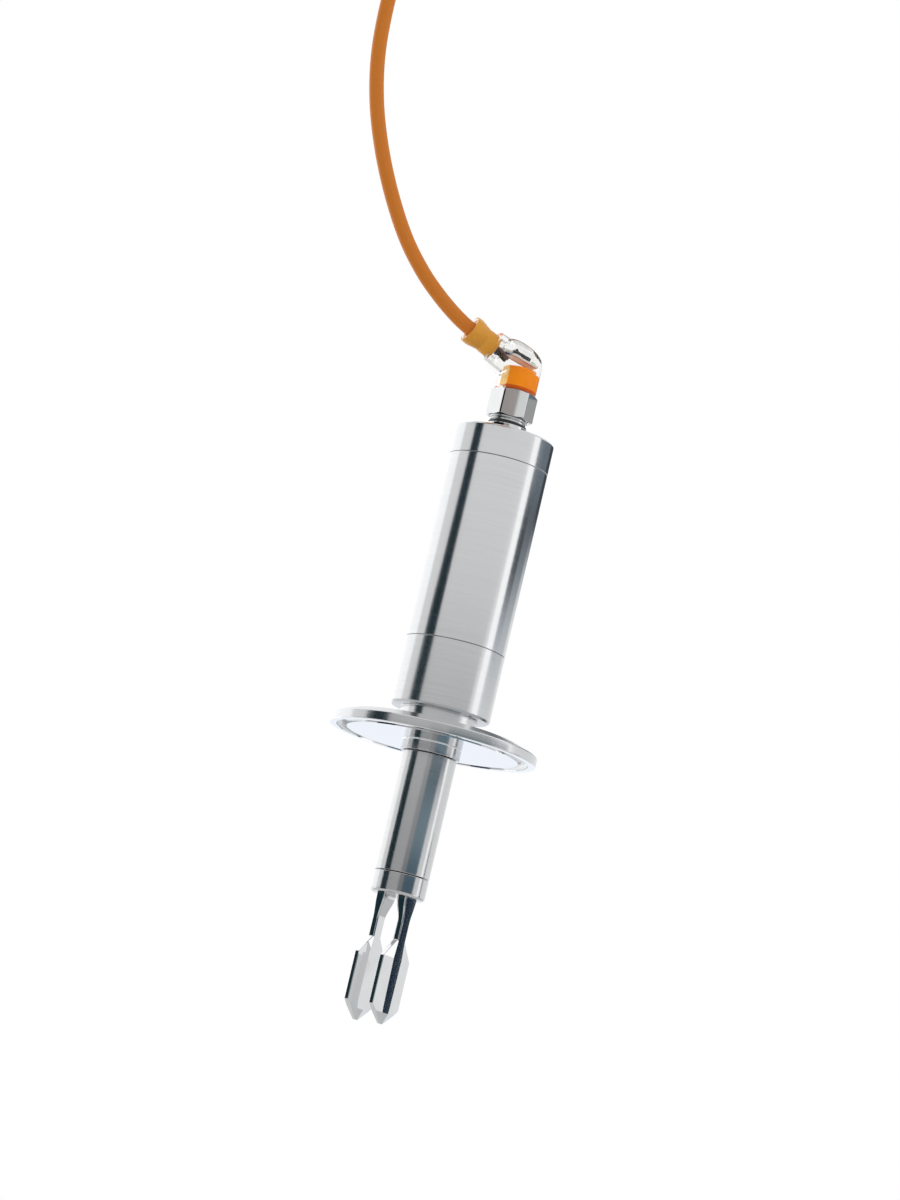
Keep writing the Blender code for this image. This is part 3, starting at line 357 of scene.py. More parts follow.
brown_wire = moulded("brown_wire", (0.18, 0.08, 0.04), (0.10, 0.04, 0.02), 0.35, 1200.0, 0.000008)
white_wire = moulded("white_wire", (0.86, 0.86, 0.84), (0.74, 0.74, 0.71), 0.35, 1200.0, 0.000008)
cable_finish = cable_jacket()


# %% Plated metals
def plated(name, colour, dark, roughness):
    metal = Finish(name)
    fine = metal.noise((2200.0, 2200.0, 900.0))
    stain = metal.noise(220.0, 4.0)
    return metal.done(
        Base_Color=metal.mix(0.4 * fine + 0.6 * stain, (*dark, 1.0), (*colour, 1.0)),
        Metallic=1.0,
        Roughness=roughness + 0.12 * stain,
        Normal=metal.bump(fine, 0.000003),
    )


gold = plated("gold", (0.86, 0.64, 0.28), (0.72, 0.50, 0.20), 0.20)
copper = plated("copper", (0.78, 0.40, 0.24), (0.55, 0.25, 0.14), 0.22)
solder = plated("solder", (0.70, 0.70, 0.71), (0.56, 0.56, 0.58), 0.18)
aluminium = plated("aluminium", (0.62, 0.63, 0.65), (0.50, 0.51, 0.53), 0.30)


# %% The strap's webbing
def webbing():
    """A woven strap: two crossing sets of ridges and a little fuzz of tone."""
    weave = Finish("webbing")
    wave = {"Vector": weave.place(2600.0), "Scale": 0.32, "Distortion": 1.0}
    warp = Value(weave, weave.node("ShaderNodeTexWave", wave).outputs[1])
    fuzz = weave.noise(2500.0)
    threads = 0.6 * warp + 0.4 * fuzz
    return weave.done(
        Base_Color=weave.mix(threads, (0.010, 0.010, 0.011, 1.0), (0.055, 0.055, 0.058, 1.0)),
        Roughness=0.62 + 0.2 * fuzz,
        Normal=weave.bump(threads, 0.00008),
    )


strap_finish = webbing()
print("finishes:", len(bpy.data.materials))


# %% [markdown]
# ## Making and keeping a piece
#
# Each finished piece sits at the world's origin with its place in its mesh. It rides on one body of the
# frame and stands for the CAD nodes it makes finer. Its shading is weighted by area first: otherwise a
# fine bevel bends the reflections of the whole wall beside it.


# %% Piece helpers
def settle(obj):
    """Applies the object's modifiers and its place, and leaves it at the origin."""
    bpy.context.view_layer.update()
    graph = bpy.context.evaluated_depsgraph_get()
    mesh = bpy.data.meshes.new_from_object(obj.evaluated_get(graph))
    mesh.transform(obj.matrix_world)
    obj.modifiers.clear()
    obj.data = mesh
    obj.parent = None
    obj.matrix_world = Matrix.Identity(4)
    return obj


def keep(obj, body, nodes=()):
    even = obj.modifiers.new("even_shading", "WEIGHTED_NORMAL")
    even.keep_sharp = True
    settle(obj)
    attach(obj, body)
    if nodes:
        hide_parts(*nodes)
    print(f"{obj.name}: {len(obj.data.polygons)} faces")
    return obj


def smooth(mesh, sharp_deg):
    """Smooth shading, with a sharp edge wherever the surface bends by more than sharp_deg."""
    mesh.shade_smooth()
    mesh.set_sharp_from_angle(angle=math.radians(sharp_deg))


def mesh_object(name, bm, finish, sharp_deg=30.0):
    """A smooth-shaded object with its doubles merged and its faces pointing outwards."""
    bmesh.ops.remove_doubles(bm, verts=bm.verts, dist=1e-7)
    bmesh.ops.recalc_face_normals(bm, faces=bm.faces)
    mesh = bpy.data.meshes.new(name)
    bm.to_mesh(mesh)
    bm.free()
    mesh.materials.append(finish)
    smooth(mesh, sharp_deg)
    return put(name, mesh)


# %% Edges and lofts
def rounded_edges(obj, width, segments=3, over_deg=30.0):
    """The object with a live bevel on the edges that bend by more than over_deg."""
    bevel = obj.modifiers.new("soft_edges", "BEVEL")
    bevel.width = width
    bevel.segments = segments
    bevel.limit_method = "ANGLE"
    bevel.angle_limit = math.radians(over_deg)
    return obj


def loft(name, sections, finish, sharp_deg=30.0, closed=False):
    """A skin over sections of points. It closes in a ring, or has a cap or a single point at each end."""
    bm = bmesh.new()
    loops = [[bm.verts.new(point) for point in section] for section in sections]
    for here, there in zip(loops, loops[1:] + (loops[:1] if closed else [])):
        for i in range(max(len(here), len(there))):
            a, b, c, d = i % len(here), (i + 1) % len(here), (i + 1) % len(there), i % len(there)
            face = list(dict.fromkeys((here[a], here[b], there[c], there[d])))
            if len(face) > 2:
                bm.faces.new(face)
    for end in () if closed else (loops[0], loops[-1]):
        if len(end) > 2:
            bm.faces.new(end)
    return mesh_object(name, bm, finish, sharp_deg)


def span(node):
    """The radius, the lowest and the highest height of a CAD node that is round about the switch's axis."""
    low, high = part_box(node)
    return (high[0] - low[0]) / 2, low[2], high[2]


# %% [markdown]
# ## Turned pieces
#
# A lathe makes any shape that a flat profile spins out. The profile is a list of corners, and each corner
# gives the radius that breaks it: no real edge is perfectly sharp, and the thin bright line on a
# broken edge is much of what makes steel look like steel.


# %% The lathe
def rounded(corners, steps=4):
    """(radius, height) points of a profile. A corner's third number says how much of it is broken."""
    points = []
    for i, corner in enumerate(corners):
        here = Vector(corner[:2])
        size = corner[2] if len(corner) > 2 else 0.0
        before = Vector(corners[i - 1][:2]) - here
        after = Vector(corners[(i + 1) % len(corners)][:2]) - here
        bend = before.angle(after)
        if size <= 0 or bend > math.radians(179.0):
            points.append(here)
            continue
        reach = min(size / math.tan(bend / 2), 0.45 * before.length, 0.45 * after.length)
        start = here + before.normalized() * reach
        end = here + after.normalized() * reach
        # A quadratic curve is close enough to an arc on an edge this small.
        for step in range(steps + 1):
            t = step / steps
            points.append(start * (1 - t) ** 2 + here * 2 * t * (1 - t) + end * t**2)
    return points


def arc(centre, radius, start_deg, end_deg, steps):
    """Corners of a profile on an arc."""
    angles = np.radians(np.linspace(start_deg, end_deg, steps + 1))
    return [(centre[0] + radius * math.cos(a), centre[1] + radius * math.sin(a)) for a in angles]


def lathe(name, corners, finish, sides=192, closed=True):
    """Spins a profile about Z. A closed profile goes round a ring, and an open one ends on the axis."""
    points = rounded(corners) if closed else [Vector(corner[:2]) for corner in corners]
    angles = [2 * math.pi * i / sides for i in range(sides)]
    rings = []
    for x, y in points:
        spin = angles if x > 1e-9 else [0.0]
        rings.append([(x * math.cos(a), x * math.sin(a), y) for a in spin])
    return loft(name, rings, finish, closed=closed)


# %% [markdown]
# ## The cable
#
# The cordset is 5 m long, as such cordsets usually are. The photograph shows its rise from the plug to the
# frame's top. The rest is put away as a neat coil that hangs by its strap above the frame, and its end
# is bare, with four cores. Its route is the same as the CAD's, so the same numbers stand here.

# %% The cable's route
CABLE_DIAMETER = 0.0045
ARM_AZIMUTH = math.radians(238.0)
ARM_RISE = math.radians(21.0)
ARM_HEIGHT = 0.0075
SLEEVE_START = 0.0082
SLEEVE_END = 0.0204
CABLE_ROUTE = [
    (0.0238, 0.1292), (0.0304, 0.1333),
    (0.0379, 0.1392), (0.0455, 0.1473), (0.0524, 0.1574), (0.0584, 0.1684), (0.0632, 0.1796),
    (0.0664, 0.1900), (0.0684, 0.2005), (0.0692, 0.2110), (0.0693, 0.2230), (0.0691, 0.2370),
    (0.0690, 0.2520), (0.0690, 0.2718),
]
COIL_HEIGHT = 0.2920
OUTER_TURN = 0.0423
COLUMN_PITCH = 0.0048
LAYER_PITCH = 0.0045
COLUMNS = 5
LAYERS = 4
SHIFT_DEG = 60.0
TAIL_LEAVES_DEG = 150.0
TAIL_STRAIGHT = 0.0480
ROUTE_STEP = 0.0025
TURN_POINTS = 44
TAIL_STEP_DEG = 6.0
TAIL_DROPS_DEG = 90.0
TAIL_DROP_SPAN = 50.0

arm_out = Vector((math.cos(ARM_AZIMUTH), math.sin(ARM_AZIMUTH), 0.0))
arm_axis = arm_out * math.cos(ARM_RISE) + UP * math.sin(ARM_RISE)
arm_origin = UP * (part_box("plug_elbow")[0][2] + ARM_HEIGHT)
coil_frame = Matrix((arm_out, UP, arm_out.cross(UP))).transposed().to_4x4()
coil_frame = Matrix.Translation(arm_out * (CABLE_ROUTE[-1][0] - OUTER_TURN) + UP * COIL_HEIGHT) @ coil_frame


# %% The cable's centreline
def run_along(points):
    """How far along a path each of its points lies."""
    return np.concatenate([[0.0], np.cumsum(np.linalg.norm(np.diff(points, axis=0), axis=1))])


def smooth_route(points, step):
    """Points every step metres along a Catmull-Rom curve through the given ones."""
    points = np.array(points, float)
    padded = np.vstack([2 * points[0] - points[1], points, 2 * points[-1] - points[-2]])
    fine = []
    for before, start, end, after in zip(padded, padded[1:], padded[2:], padded[3:]):
        t = np.linspace(0.0, 1.0, 24, endpoint=False)[:, None]
        slope = (end - before) * t
        bend = (2 * before - 5 * start + 4 * end - after) * t**2
        twist = (3 * start - before - 3 * end + after) * t**3
        fine.append(start + (slope + bend + twist) / 2)
    fine = np.vstack(fine + [points[-1:]])
    run = run_along(fine)
    even = np.linspace(0.0, run[-1], int(run[-1] / step) + 1)
    return np.stack([np.interp(even, run, fine[:, i]) for i in range(3)], axis=1)


# %% The coil's turns
def ease(share):
    """A share from 0 to 1 that starts and ends softly."""
    return share * share * (3 - 2 * share)


def coil_point(radius, degrees, axial):
    """A point in the coil's own frame."""
    angle = math.radians(degrees)
    return (radius * math.cos(angle), radius * math.sin(angle), axial)


def coil_turns():
    """The coil's points in its own frame: columns side by side, layer on layer."""
    points = []
    radius = OUTER_TURN
    axial = 0.0
    direction = 1
    for _ in range(LAYERS):
        for column in range(COLUMNS):
            last = column == COLUMNS - 1
            for step in range(TURN_POINTS):
                degrees = 360.0 * step / TURN_POINTS
                share = ease(max(0.0, (degrees - (360.0 - SHIFT_DEG)) / SHIFT_DEG))
                across = 0.0 if last else share * direction * COLUMN_PITCH
                inwards = share * LAYER_PITCH if last else 0.0
                points.append(coil_point(radius - inwards, degrees, axial + across))
            if last:
                radius -= LAYER_PITCH
            else:
                axial += direction * COLUMN_PITCH
        direction = -direction
    return points, radius


# %% From the sleeve to the cut end
def cable_path():
    """The whole cable's centreline, from inside the sleeve to the cut end of its jacket."""
    runs = np.linspace(SLEEVE_START + CABLE_DIAMETER / 2, SLEEVE_END, 4)
    lead = [arm_origin + arm_axis * run for run in runs]
    lead += [arm_out * out + UP * height for out, height in CABLE_ROUTE]
    turns, inner = coil_turns()
    lead.append(coil_frame @ Vector(turns[0]))
    rise = smooth_route(lead, ROUTE_STEP)
    # One more turn inside the others drops to the coil's flank, where the tail leaves it.
    last_turn = []
    for degrees in np.arange(0.0, TAIL_LEAVES_DEG + 0.1, TAIL_STEP_DEG):
        share = min(1.0, max(0.0, (degrees - TAIL_DROPS_DEG) / TAIL_DROP_SPAN))
        last_turn.append(coil_point(inner, degrees, -ease(share) * COLUMN_PITCH))
    leave = math.radians(TAIL_LEAVES_DEG)
    heading = Vector((-math.sin(leave), math.cos(leave), 0.0))
    start = Vector(last_turn[-1])
    tail = [start + heading * run for run in np.linspace(0.0, TAIL_STRAIGHT, 12)[1:]]
    wound = [coil_frame @ Vector(p) for p in turns[1:] + last_turn] + [coil_frame @ p for p in tail]
    return np.vstack([rise, np.array([list(p) for p in wound])]), start + heading * TAIL_STRAIGHT, heading


# %% [markdown]
# A tube along a path needs a cross-section that doesn't twist. Each ring's side vector is the last ring's,
# with the part along the new direction taken away. The UV map keeps the run in metres and the way
# round, so a pattern can follow the cable.


# %% The tube
def tube(name, path, radius, finish, sides=16):
    path = np.asarray(path, float)
    ahead = np.gradient(path, axis=0)
    ahead /= np.linalg.norm(ahead, axis=1)[:, None]
    side = np.cross(ahead[0], (0.37, 0.61, 0.70))
    angles = np.linspace(0.0, 2 * math.pi, sides, endpoint=False)
    rings = []
    for place, along in zip(path, ahead):
        side = side - along * (side @ along)
        side /= np.linalg.norm(side)
        over = np.cross(along, side)
        rings.append(place + radius * (np.cos(angles)[:, None] * side + np.sin(angles)[:, None] * over))
    run = run_along(path)
    faces = []
    uvs = []
    for i in range(len(path) - 1):
        for k in range(sides):
            j = (k + 1) % sides
            faces.append((i * sides + k, i * sides + j, (i + 1) * sides + j, (i + 1) * sides + k))
            low = k / sides
            high = (k + 1) / sides
            uvs += [(run[i], low), (run[i], high), (run[i + 1], high), (run[i + 1], low)]
    faces.append(tuple(range(sides - 1, -1, -1)))
    faces.append(tuple((len(path) - 1) * sides + k for k in range(sides)))
    uvs += [(0.0, k / sides) for k in range(sides)] + [(run[-1], k / sides) for k in range(sides)]
    mesh = bpy.data.meshes.new(name)
    mesh.from_pydata(np.vstack(rings).tolist(), [], faces)
    mesh.uv_layers.new(name="UVMap").uv.foreach_set("vector", np.array(uvs).ravel())
    mesh.materials.append(finish)
    smooth(mesh, 50.0)
    return put(name, mesh)


cable_line, jacket_end, end_heading = cable_path()
cable = tube("cable", cable_line, CABLE_DIAMETER / 2, cable_finish)
keep(cable, "plug", ["cable_lead", "cable_coil", "cable_tail"])
print("cable in metres:", round(float(run_along(cable_line)[-1]), 3))


# %% [markdown]
# The four cores end in bare strands. One Geometry Nodes tree makes a bundle: six points round a circle and
# one at its middle, each with a thin copper rod. The tree is built once, and each core uses it.

# %% The cores and their strands
CORE_DIAMETER = 0.0012
CORE_LENGTH = 0.0130
CORE_SPLAY = math.radians(7.0)
BARE_LENGTH = 0.0022
STRAND_DIAMETER = 0.00026
CORES = (("brown", brown_wire), ("white", white_wire), ("blue", blue_wire), ("black", black_plastic))


# %% Helpers for trees
def new_tree(name, inputs):
    """A Geometry Nodes tree with number inputs, and the sockets that bring them in."""
    tree = bpy.data.node_groups.new(name, "GeometryNodeTree")
    for way in ("INPUT", "OUTPUT"):
        tree.interface.new_socket("Geometry", in_out=way, socket_type="NodeSocketGeometry")
    for label, value in inputs.items():
        kind = "NodeSocketInt" if isinstance(value, int) else "NodeSocketFloat"
        tree.interface.new_socket(label, in_out="INPUT", socket_type=kind).default_value = value
    return tree, tree.nodes.new("NodeGroupInput").outputs


def close_tree(tree, geometry, finish):
    """Ends a tree in real geometry with a material, because an export keeps no instances."""
    real = add_node(tree, "GeometryNodeRealizeInstances", {"Geometry": geometry})
    paint = add_node(tree, "GeometryNodeSetMaterial", {"Geometry": real, "Material": finish})
    add_node(tree, "NodeGroupOutput", {0: paint})
    return tree


def from_tree(name, tree, values, finish, place):
    """Evaluates a tree on an empty mesh and keeps the result as a plain mesh."""
    obj = put(name, bpy.data.meshes.new(name))
    modifier = obj.modifiers.new("shape", "NODES")
    modifier.node_group = tree
    for item in tree.interface.items_tree:
        if item.in_out == "INPUT" and item.name in values:
            modifier[item.identifier] = values[item.name]
    obj.matrix_world = place
    settle(obj)
    obj.data.materials.clear()
    obj.data.materials.append(finish)
    smooth(obj.data, 40.0)
    return obj


# %% The strands
def strand_tree():
    sizes = {"Bundle radius": STRAND_DIAMETER, "Strand radius": STRAND_DIAMETER / 2, "Length": BARE_LENGTH}
    tree, given = new_tree("strand_bundle", sizes)
    ring = add_node(tree, "GeometryNodeMeshCircle", {"Vertices": 6, "Radius": given["Bundle radius"]})
    middle = add_node(tree, "GeometryNodeMeshLine", {"Count": 1})
    both = add_node(tree, "GeometryNodeJoinGeometry", {0: ring})
    feed(tree, both.inputs[0], middle)
    rod_sizes = {"Vertices": 8, "Radius": given["Strand radius"], "Depth": given["Length"]}
    rod = add_node(tree, "GeometryNodeMeshCylinder", rod_sizes)
    spread = add_node(tree, "GeometryNodeInstanceOnPoints", {"Points": both, "Instance": rod})
    return close_tree(tree, spread, copper)


def make_cores():
    bundle = strand_tree()
    across = Vector((-end_heading.y, end_heading.x, 0.0))
    pieces = []
    for i, (colour, finish) in enumerate(CORES):
        angle = math.pi / 4 + i * math.pi / 2
        side = across * math.cos(angle) + Vector((0.0, 0.0, math.sin(angle)))
        along = end_heading * math.cos(CORE_SPLAY) + side * math.sin(CORE_SPLAY)
        first = jacket_end + side * CORE_DIAMETER - end_heading * CORE_DIAMETER
        skin = CORE_LENGTH + CORE_DIAMETER - BARE_LENGTH
        path = [coil_frame @ (first + along * run) for run in np.linspace(0.0, skin, 8)]
        core = tube(f"core_{colour}", path, CORE_DIAMETER / 2, finish, 12)
        keep(core, "plug", [f"cable_core_{i + 1}"])
        middle = coil_frame @ (first + along * (skin + BARE_LENGTH / 2 - STRAND_DIAMETER))
        turn = (coil_frame.to_3x3() @ along).to_track_quat("Z", "Y").to_matrix().to_4x4()
        strands = from_tree(f"strands_{colour}", bundle, {}, copper, Matrix.Translation(middle) @ turn)
        keep(strands, "plug")
        pieces += [core, strands]
    return pieces


core_pieces = make_cores()


# %% [markdown]
# ## The strap
#
# A woven strap holds the coil together at its top, with a loop to hang it by. It is a flat band, so its
# outline is drawn once as a path in the coil's cross-section and given its width and thickness.

# %% The strap and its loop
STRAP_WIDTH = 0.0120
STRAP_THICKNESS = 0.0012
LOOP_DIAMETER = 0.0200
STRAP_GAP = 0.0003
LOOP_POINTS = 48


def band(name, outline, thickness, width, finish):
    """A closed flat band round an outline of (axial, up) points, standing width wide along the coil."""
    sections = []
    for i, (x, y) in enumerate(outline):
        along = (Vector(outline[(i + 1) % len(outline)]) - Vector(outline[i - 1])).normalized()
        outer = (x + along.y * thickness, y - along.x * thickness)
        low, high = -width / 2, width / 2
        sections.append([(x, y, low), (*outer, low), (*outer, high), (x, y, high)])
    return rounded_edges(loft(name, sections, finish, 60.0, closed=True), thickness * 0.3)


# %% The strap round the coil
def make_strap():
    inner = OUTER_TURN - (LAYERS - 1) * LAYER_PITCH - CABLE_DIAMETER / 2 - LAYER_PITCH
    low = math.sqrt(inner**2 - (STRAP_WIDTH / 2) ** 2) - STRAP_GAP
    high = OUTER_TURN + CABLE_DIAMETER / 2 + STRAP_GAP
    left = -CABLE_DIAMETER / 2 - STRAP_GAP
    right = (COLUMNS - 1) * COLUMN_PITCH + CABLE_DIAMETER / 2 + STRAP_GAP
    corner = CABLE_DIAMETER / 2
    outline = []
    for cx, cy, start in (
        (right - corner, low + corner, -90.0),
        (right - corner, high - corner, 0.0),
        (left + corner, high - corner, 90.0),
        (left + corner, low + corner, 180.0),
    ):
        outline += arc((cx, cy), corner, start, start + 90.0, 7)
    strap = band("coil_strap", outline, STRAP_THICKNESS, STRAP_WIDTH, strap_finish)
    centre = ((left + right) / 2, high + LOOP_DIAMETER / 2 + STRAP_THICKNESS / 2)
    ring_end = 360.0 - 360.0 / LOOP_POINTS
    ring = arc(centre, LOOP_DIAMETER / 2 - STRAP_THICKNESS, 0.0, ring_end, LOOP_POINTS - 1)
    loop = band("hanging_loop", ring, STRAP_THICKNESS, STRAP_WIDTH, strap_finish)
    across = Matrix(((0, 0, 1, 0), (0, 1, 0, 0), (1, 0, 0, 0), (0, 0, 0, 1)))
    for obj in (strap, loop):
        obj.matrix_world = coil_frame @ across
        settle(obj)
        bm = bmesh.new()
        bm.from_mesh(obj.data)
        bmesh.ops.recalc_face_normals(bm, faces=bm.faces)
        bm.to_mesh(obj.data)
        bm.free()
    keep(strap, "plug", ["coil_tie"])
    keep(loop, "plug")
    return [strap, loop]


strap_pieces = make_strap()
core_pieces + strap_pieces


# %% [markdown]
# ## The switch's steel body
#
# From the plug down: a cover, the housing tube, and the adapter with its neck and clamp ferrule, then the
# probe pipe. Each joint is a fine line where two broken edges meet, so every piece is turned by itself
# and keeps its CAD height and radius.

# %% The body's sizes
EDGE = 0.00018
HOUSING_BEVEL = 0.0006
SPIGOT_LENGTH = 0.0030
SPIGOT_WALL = 0.0009
HOUSING_WALL = 0.0020
NECK_RADIUS = 0.01185
NECK_FILLET = 0.0015
FERRULE_RIM = 0.00285
FERRULE_TOP = 0.00496
TAPER_REACH = 0.0058
HOUSING_BOTTOM = 0.00976
GROOVE_RADIUS = 0.0282
GROOVE_SIZE = 0.0016
COLLAR_RADIUS = 0.00915
PIPE_WALL = 0.0015
SEAT_GAP = 0.0003
JOINT_LINE = 0.0001
NECK_CORNER = 0.0003
TAPER_CORNER = 0.001
RIM_CORNER = 0.0004
ADAPTER_FLOOR = 0.0030
BORE_STEP = 0.0015
COVER_SEAT = 0.0009
COVER_WALL = 0.0032
COVER_ROOF = 0.0030


# %% The adapter
def make_adapter():
    rim, bottom, top = span("clamp_adapter")
    housing = span("housing_tube")[0]
    pipe_bore = span("probe_pipe")[0] - PIPE_WALL
    bore = housing - HOUSING_WALL - BORE_STEP
    floor = HOUSING_BOTTOM + ADAPTER_FLOOR
    spigot = housing - SPIGOT_WALL
    corners = [
        (housing, top, EDGE),
        (housing, HOUSING_BOTTOM + HOUSING_BEVEL, EDGE),
        (housing - HOUSING_BEVEL, HOUSING_BOTTOM, EDGE),
        *arc((NECK_RADIUS + NECK_CORNER, HOUSING_BOTTOM - NECK_CORNER), NECK_CORNER, 90, 180, 4),
        *arc((NECK_RADIUS + NECK_FILLET, FERRULE_TOP + NECK_FILLET), NECK_FILLET, 180, 270, 8),
        (rim - TAPER_REACH, FERRULE_TOP, TAPER_CORNER),
        (rim, FERRULE_RIM, RIM_CORNER),
        (rim, 0.0, RIM_CORNER),
        (GROOVE_RADIUS + GROOVE_SIZE + EDGE, 0.0),
        *arc((GROOVE_RADIUS, 0.0), GROOVE_SIZE, 0, 180, 16),
        (GROOVE_RADIUS - GROOVE_SIZE - EDGE, 0.0),
        (COLLAR_RADIUS, 0.0, RIM_CORNER),
        (COLLAR_RADIUS, bottom, EDGE),
        (pipe_bore, bottom, EDGE),
        (pipe_bore, floor, EDGE),
        (bore, floor, EDGE),
        (bore, top - SPIGOT_LENGTH, EDGE),
        (spigot, top - SPIGOT_LENGTH, EDGE),
        (spigot, top, EDGE),
    ]
    keep(lathe("adapter", corners, ferrule_finish, 256), "switch", ["clamp_adapter"])


make_adapter()


# %% The housing and its cover
def make_housing():
    housing, low, top = span("housing_tube")
    bottom = span("clamp_adapter")[2] + JOINT_LINE
    bore = housing - HOUSING_WALL
    spigot = housing - SPIGOT_WALL - SEAT_GAP
    corners = [
        (housing, top, EDGE), (housing, bottom, EDGE), (spigot, bottom),
        (spigot, low, EDGE), (bore, low, EDGE), (bore, top, EDGE),
    ]
    keep(lathe("tube", corners, housing_steel, 256), "switch", ["housing_tube"])

    radius, low, high = span("housing_cover")
    bottom = top + JOINT_LINE
    plug = bore - SEAT_GAP
    inside = plug - COVER_WALL
    roof = high - COVER_ROOF
    socket = span("socket_collar")[0] - COVER_SEAT + SEAT_GAP
    corners = [
        (radius - HOUSING_BEVEL, high, EDGE), (radius, high - HOUSING_BEVEL, EDGE), (radius, bottom, EDGE),
        (plug, bottom), (plug, low, EDGE), (inside, low, EDGE),
        (inside, roof, EDGE), (socket, roof, EDGE), (socket, high, EDGE),
    ]
    keep(lathe("cover", corners, housing_steel, 256), "switch", ["housing_cover"])


make_housing()


# %% The pipe
def make_pipe():
    radius, bottom, top = span("probe_pipe")
    bore = radius - PIPE_WALL
    corners = [(radius, top, EDGE), (radius, bottom, EDGE), (bore, bottom, EDGE), (bore, top, EDGE)]
    keep(lathe("pipe", corners, pipe_steel), "switch", ["probe_pipe"])


make_pipe()


# %% [markdown]
# ## The fork
#
# The fork is one casting that is ground and polished. Each tine is a paddle with a flat and two wings on
# each face, a narrow neck, and a root that widens into the membrane. It follows a rule: one cross-section
# whose sizes change with height. So it is a loft, and short bevels break its ground edges. Below the root
# its faces are shaded flat, as a grinding wheel leaves them.

# %% The fork
FORK_BASE = 0.0063
TINE_LENGTH = 0.0387
TINE_SPACING = 0.0095
PADDLE_WIDTH = 0.0132
PADDLE_THICKNESS = 0.0022
PADDLE_EDGE = 0.0014
INNER_FLAT = 0.0040
OUTER_FLAT_TOP = 0.0040
OUTER_FLAT_LOW = 0.0032
PADDLE_LENGTH = 0.0200
SHOULDER = 0.0055
POINT = 0.0052
FLAT_END = 0.0034
POINT_FLAT = 0.0029
POINT_EDGE = 0.0017
TIP_WIDTH = 0.0016
TIP_THICKNESS = 0.0010
NECK_WIDTH = 0.0038
NECK_FLAT = 0.0033
ROOT_WIDTH = 0.0056
ROOT_GAP = 0.0044
ROOT_LENGTH = 0.0078
THIN_EDGE = 0.72
FACET_DEG = 2.5
STUD_RADIUS = 0.0019
MEMBRANE = 0.0012
BASE_WALL = 0.0018
BASE_EDGE = 0.0010
AXIS_HOLE = 0.0001
ROOT_SINK = 0.0006
ROOT_STEPS = 40
GROUND_EDGE = 0.00014
GROUND_DEG = 14.0


# %% A tine's cross-sections
def tine_section(height, width, inner_flat, outer_flat, inner, outer, edge):
    """Eight corners: a flat on the inner and the outer face, and a narrow edge at each side."""
    middle = (inner + outer) / 2
    edges = [(middle - edge / 2, width / 2), (middle + edge / 2, width / 2)]
    half = [(inner, inner_flat / 2), *edges, (outer, outer_flat / 2)]
    return [(x, -y, height) for x, y in half] + [(x, y, height) for x, y in reversed(half)]


def tine_sections(face):
    """From the membrane to the tip. The outer face is one plane from the root to the paddle's point."""
    centre = TINE_SPACING / 2
    tip = face - TINE_LENGTH
    inner = centre - PADDLE_THICKNESS / 2
    outer = centre + PADDLE_THICKNESS / 2
    sections = []
    for step in range(-1, ROOT_STEPS + 1):
        down = max(0, step) / ROOT_STEPS
        share = math.cos(math.pi / 2 * down) ** 2
        width = NECK_WIDTH + share * (ROOT_WIDTH - NECK_WIDTH)
        near = inner - share * (inner - ROOT_GAP / 2)
        height = face + ROOT_SINK if step < 0 else face - ROOT_LENGTH * down
        flat = NECK_FLAT + share * (ROOT_WIDTH - NECK_WIDTH)
        sections.append(tine_section(height, width, flat, flat, near, outer, (outer - near) * THIN_EDGE))
    neck = (NECK_WIDTH, NECK_FLAT, NECK_FLAT, inner, outer, PADDLE_THICKNESS * THIN_EDGE)
    sections.append(tine_section(tip + PADDLE_LENGTH + SHOULDER, *neck))
    for height, flat in ((tip + PADDLE_LENGTH, OUTER_FLAT_TOP), (tip + POINT, OUTER_FLAT_LOW)):
        sections.append(tine_section(height, PADDLE_WIDTH, INNER_FLAT, flat, inner, outer, PADDLE_EDGE))
    # The flats run on into the point, and there the wings stay in their planes.
    width = TIP_WIDTH + FLAT_END / POINT * (PADDLE_WIDTH - TIP_WIDTH)
    sections.append(tine_section(tip + FLAT_END, width, POINT_FLAT, POINT_FLAT, inner, outer, POINT_EDGE))
    near = centre - TIP_THICKNESS / 2
    far = centre + TIP_THICKNESS / 2
    end = (TIP_WIDTH, TIP_WIDTH / 2, TIP_WIDTH / 2, near, far, TIP_THICKNESS * THIN_EDGE)
    sections.append(tine_section(tip, *end))
    return sections


# %% The fork's base and tines
def make_fork():
    radius, pipe_end, _ = span("probe_pipe")
    top = pipe_end - SEAT_GAP
    face = top - FORK_BASE
    stud_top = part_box("fork")[1][2]
    corners = [
        (STUD_RADIUS, stud_top, EDGE), (STUD_RADIUS, face + MEMBRANE, EDGE),
        (radius - BASE_WALL, face + MEMBRANE, EDGE), (radius - BASE_WALL, top, EDGE),
        (radius, top, EDGE), (radius, face, BASE_EDGE), (AXIS_HOLE, face), (AXIS_HOLE, stud_top),
    ]
    keep(lathe("fork_body", corners, pipe_steel), "switch", ["fork"])
    ground_plane = (TINE_SPACING + PADDLE_THICKNESS) / 2
    for side, name in ((1, "tine_right"), (-1, "tine_left")):
        sections = [[(side * x, y, z) for x, y, z in section] for section in tine_sections(face)]
        tine = loft(name, sections, fork_steel, FACET_DEG)
        settle(rounded_edges(tine, GROUND_EDGE, 2, GROUND_DEG))
        # The bevel lifts a few corners off the flat by hundredths of a millimetre. A polished flat shows
        # that, so they go back into its plane.
        for corner in tine.data.vertices:
            corner.co.x = side * min(side * corner.co.x, ground_plane)
        for facet in tine.data.polygons:
            facet.use_smooth = facet.center.z > face - ROOT_LENGTH
        keep(tine, "switch")


make_fork()


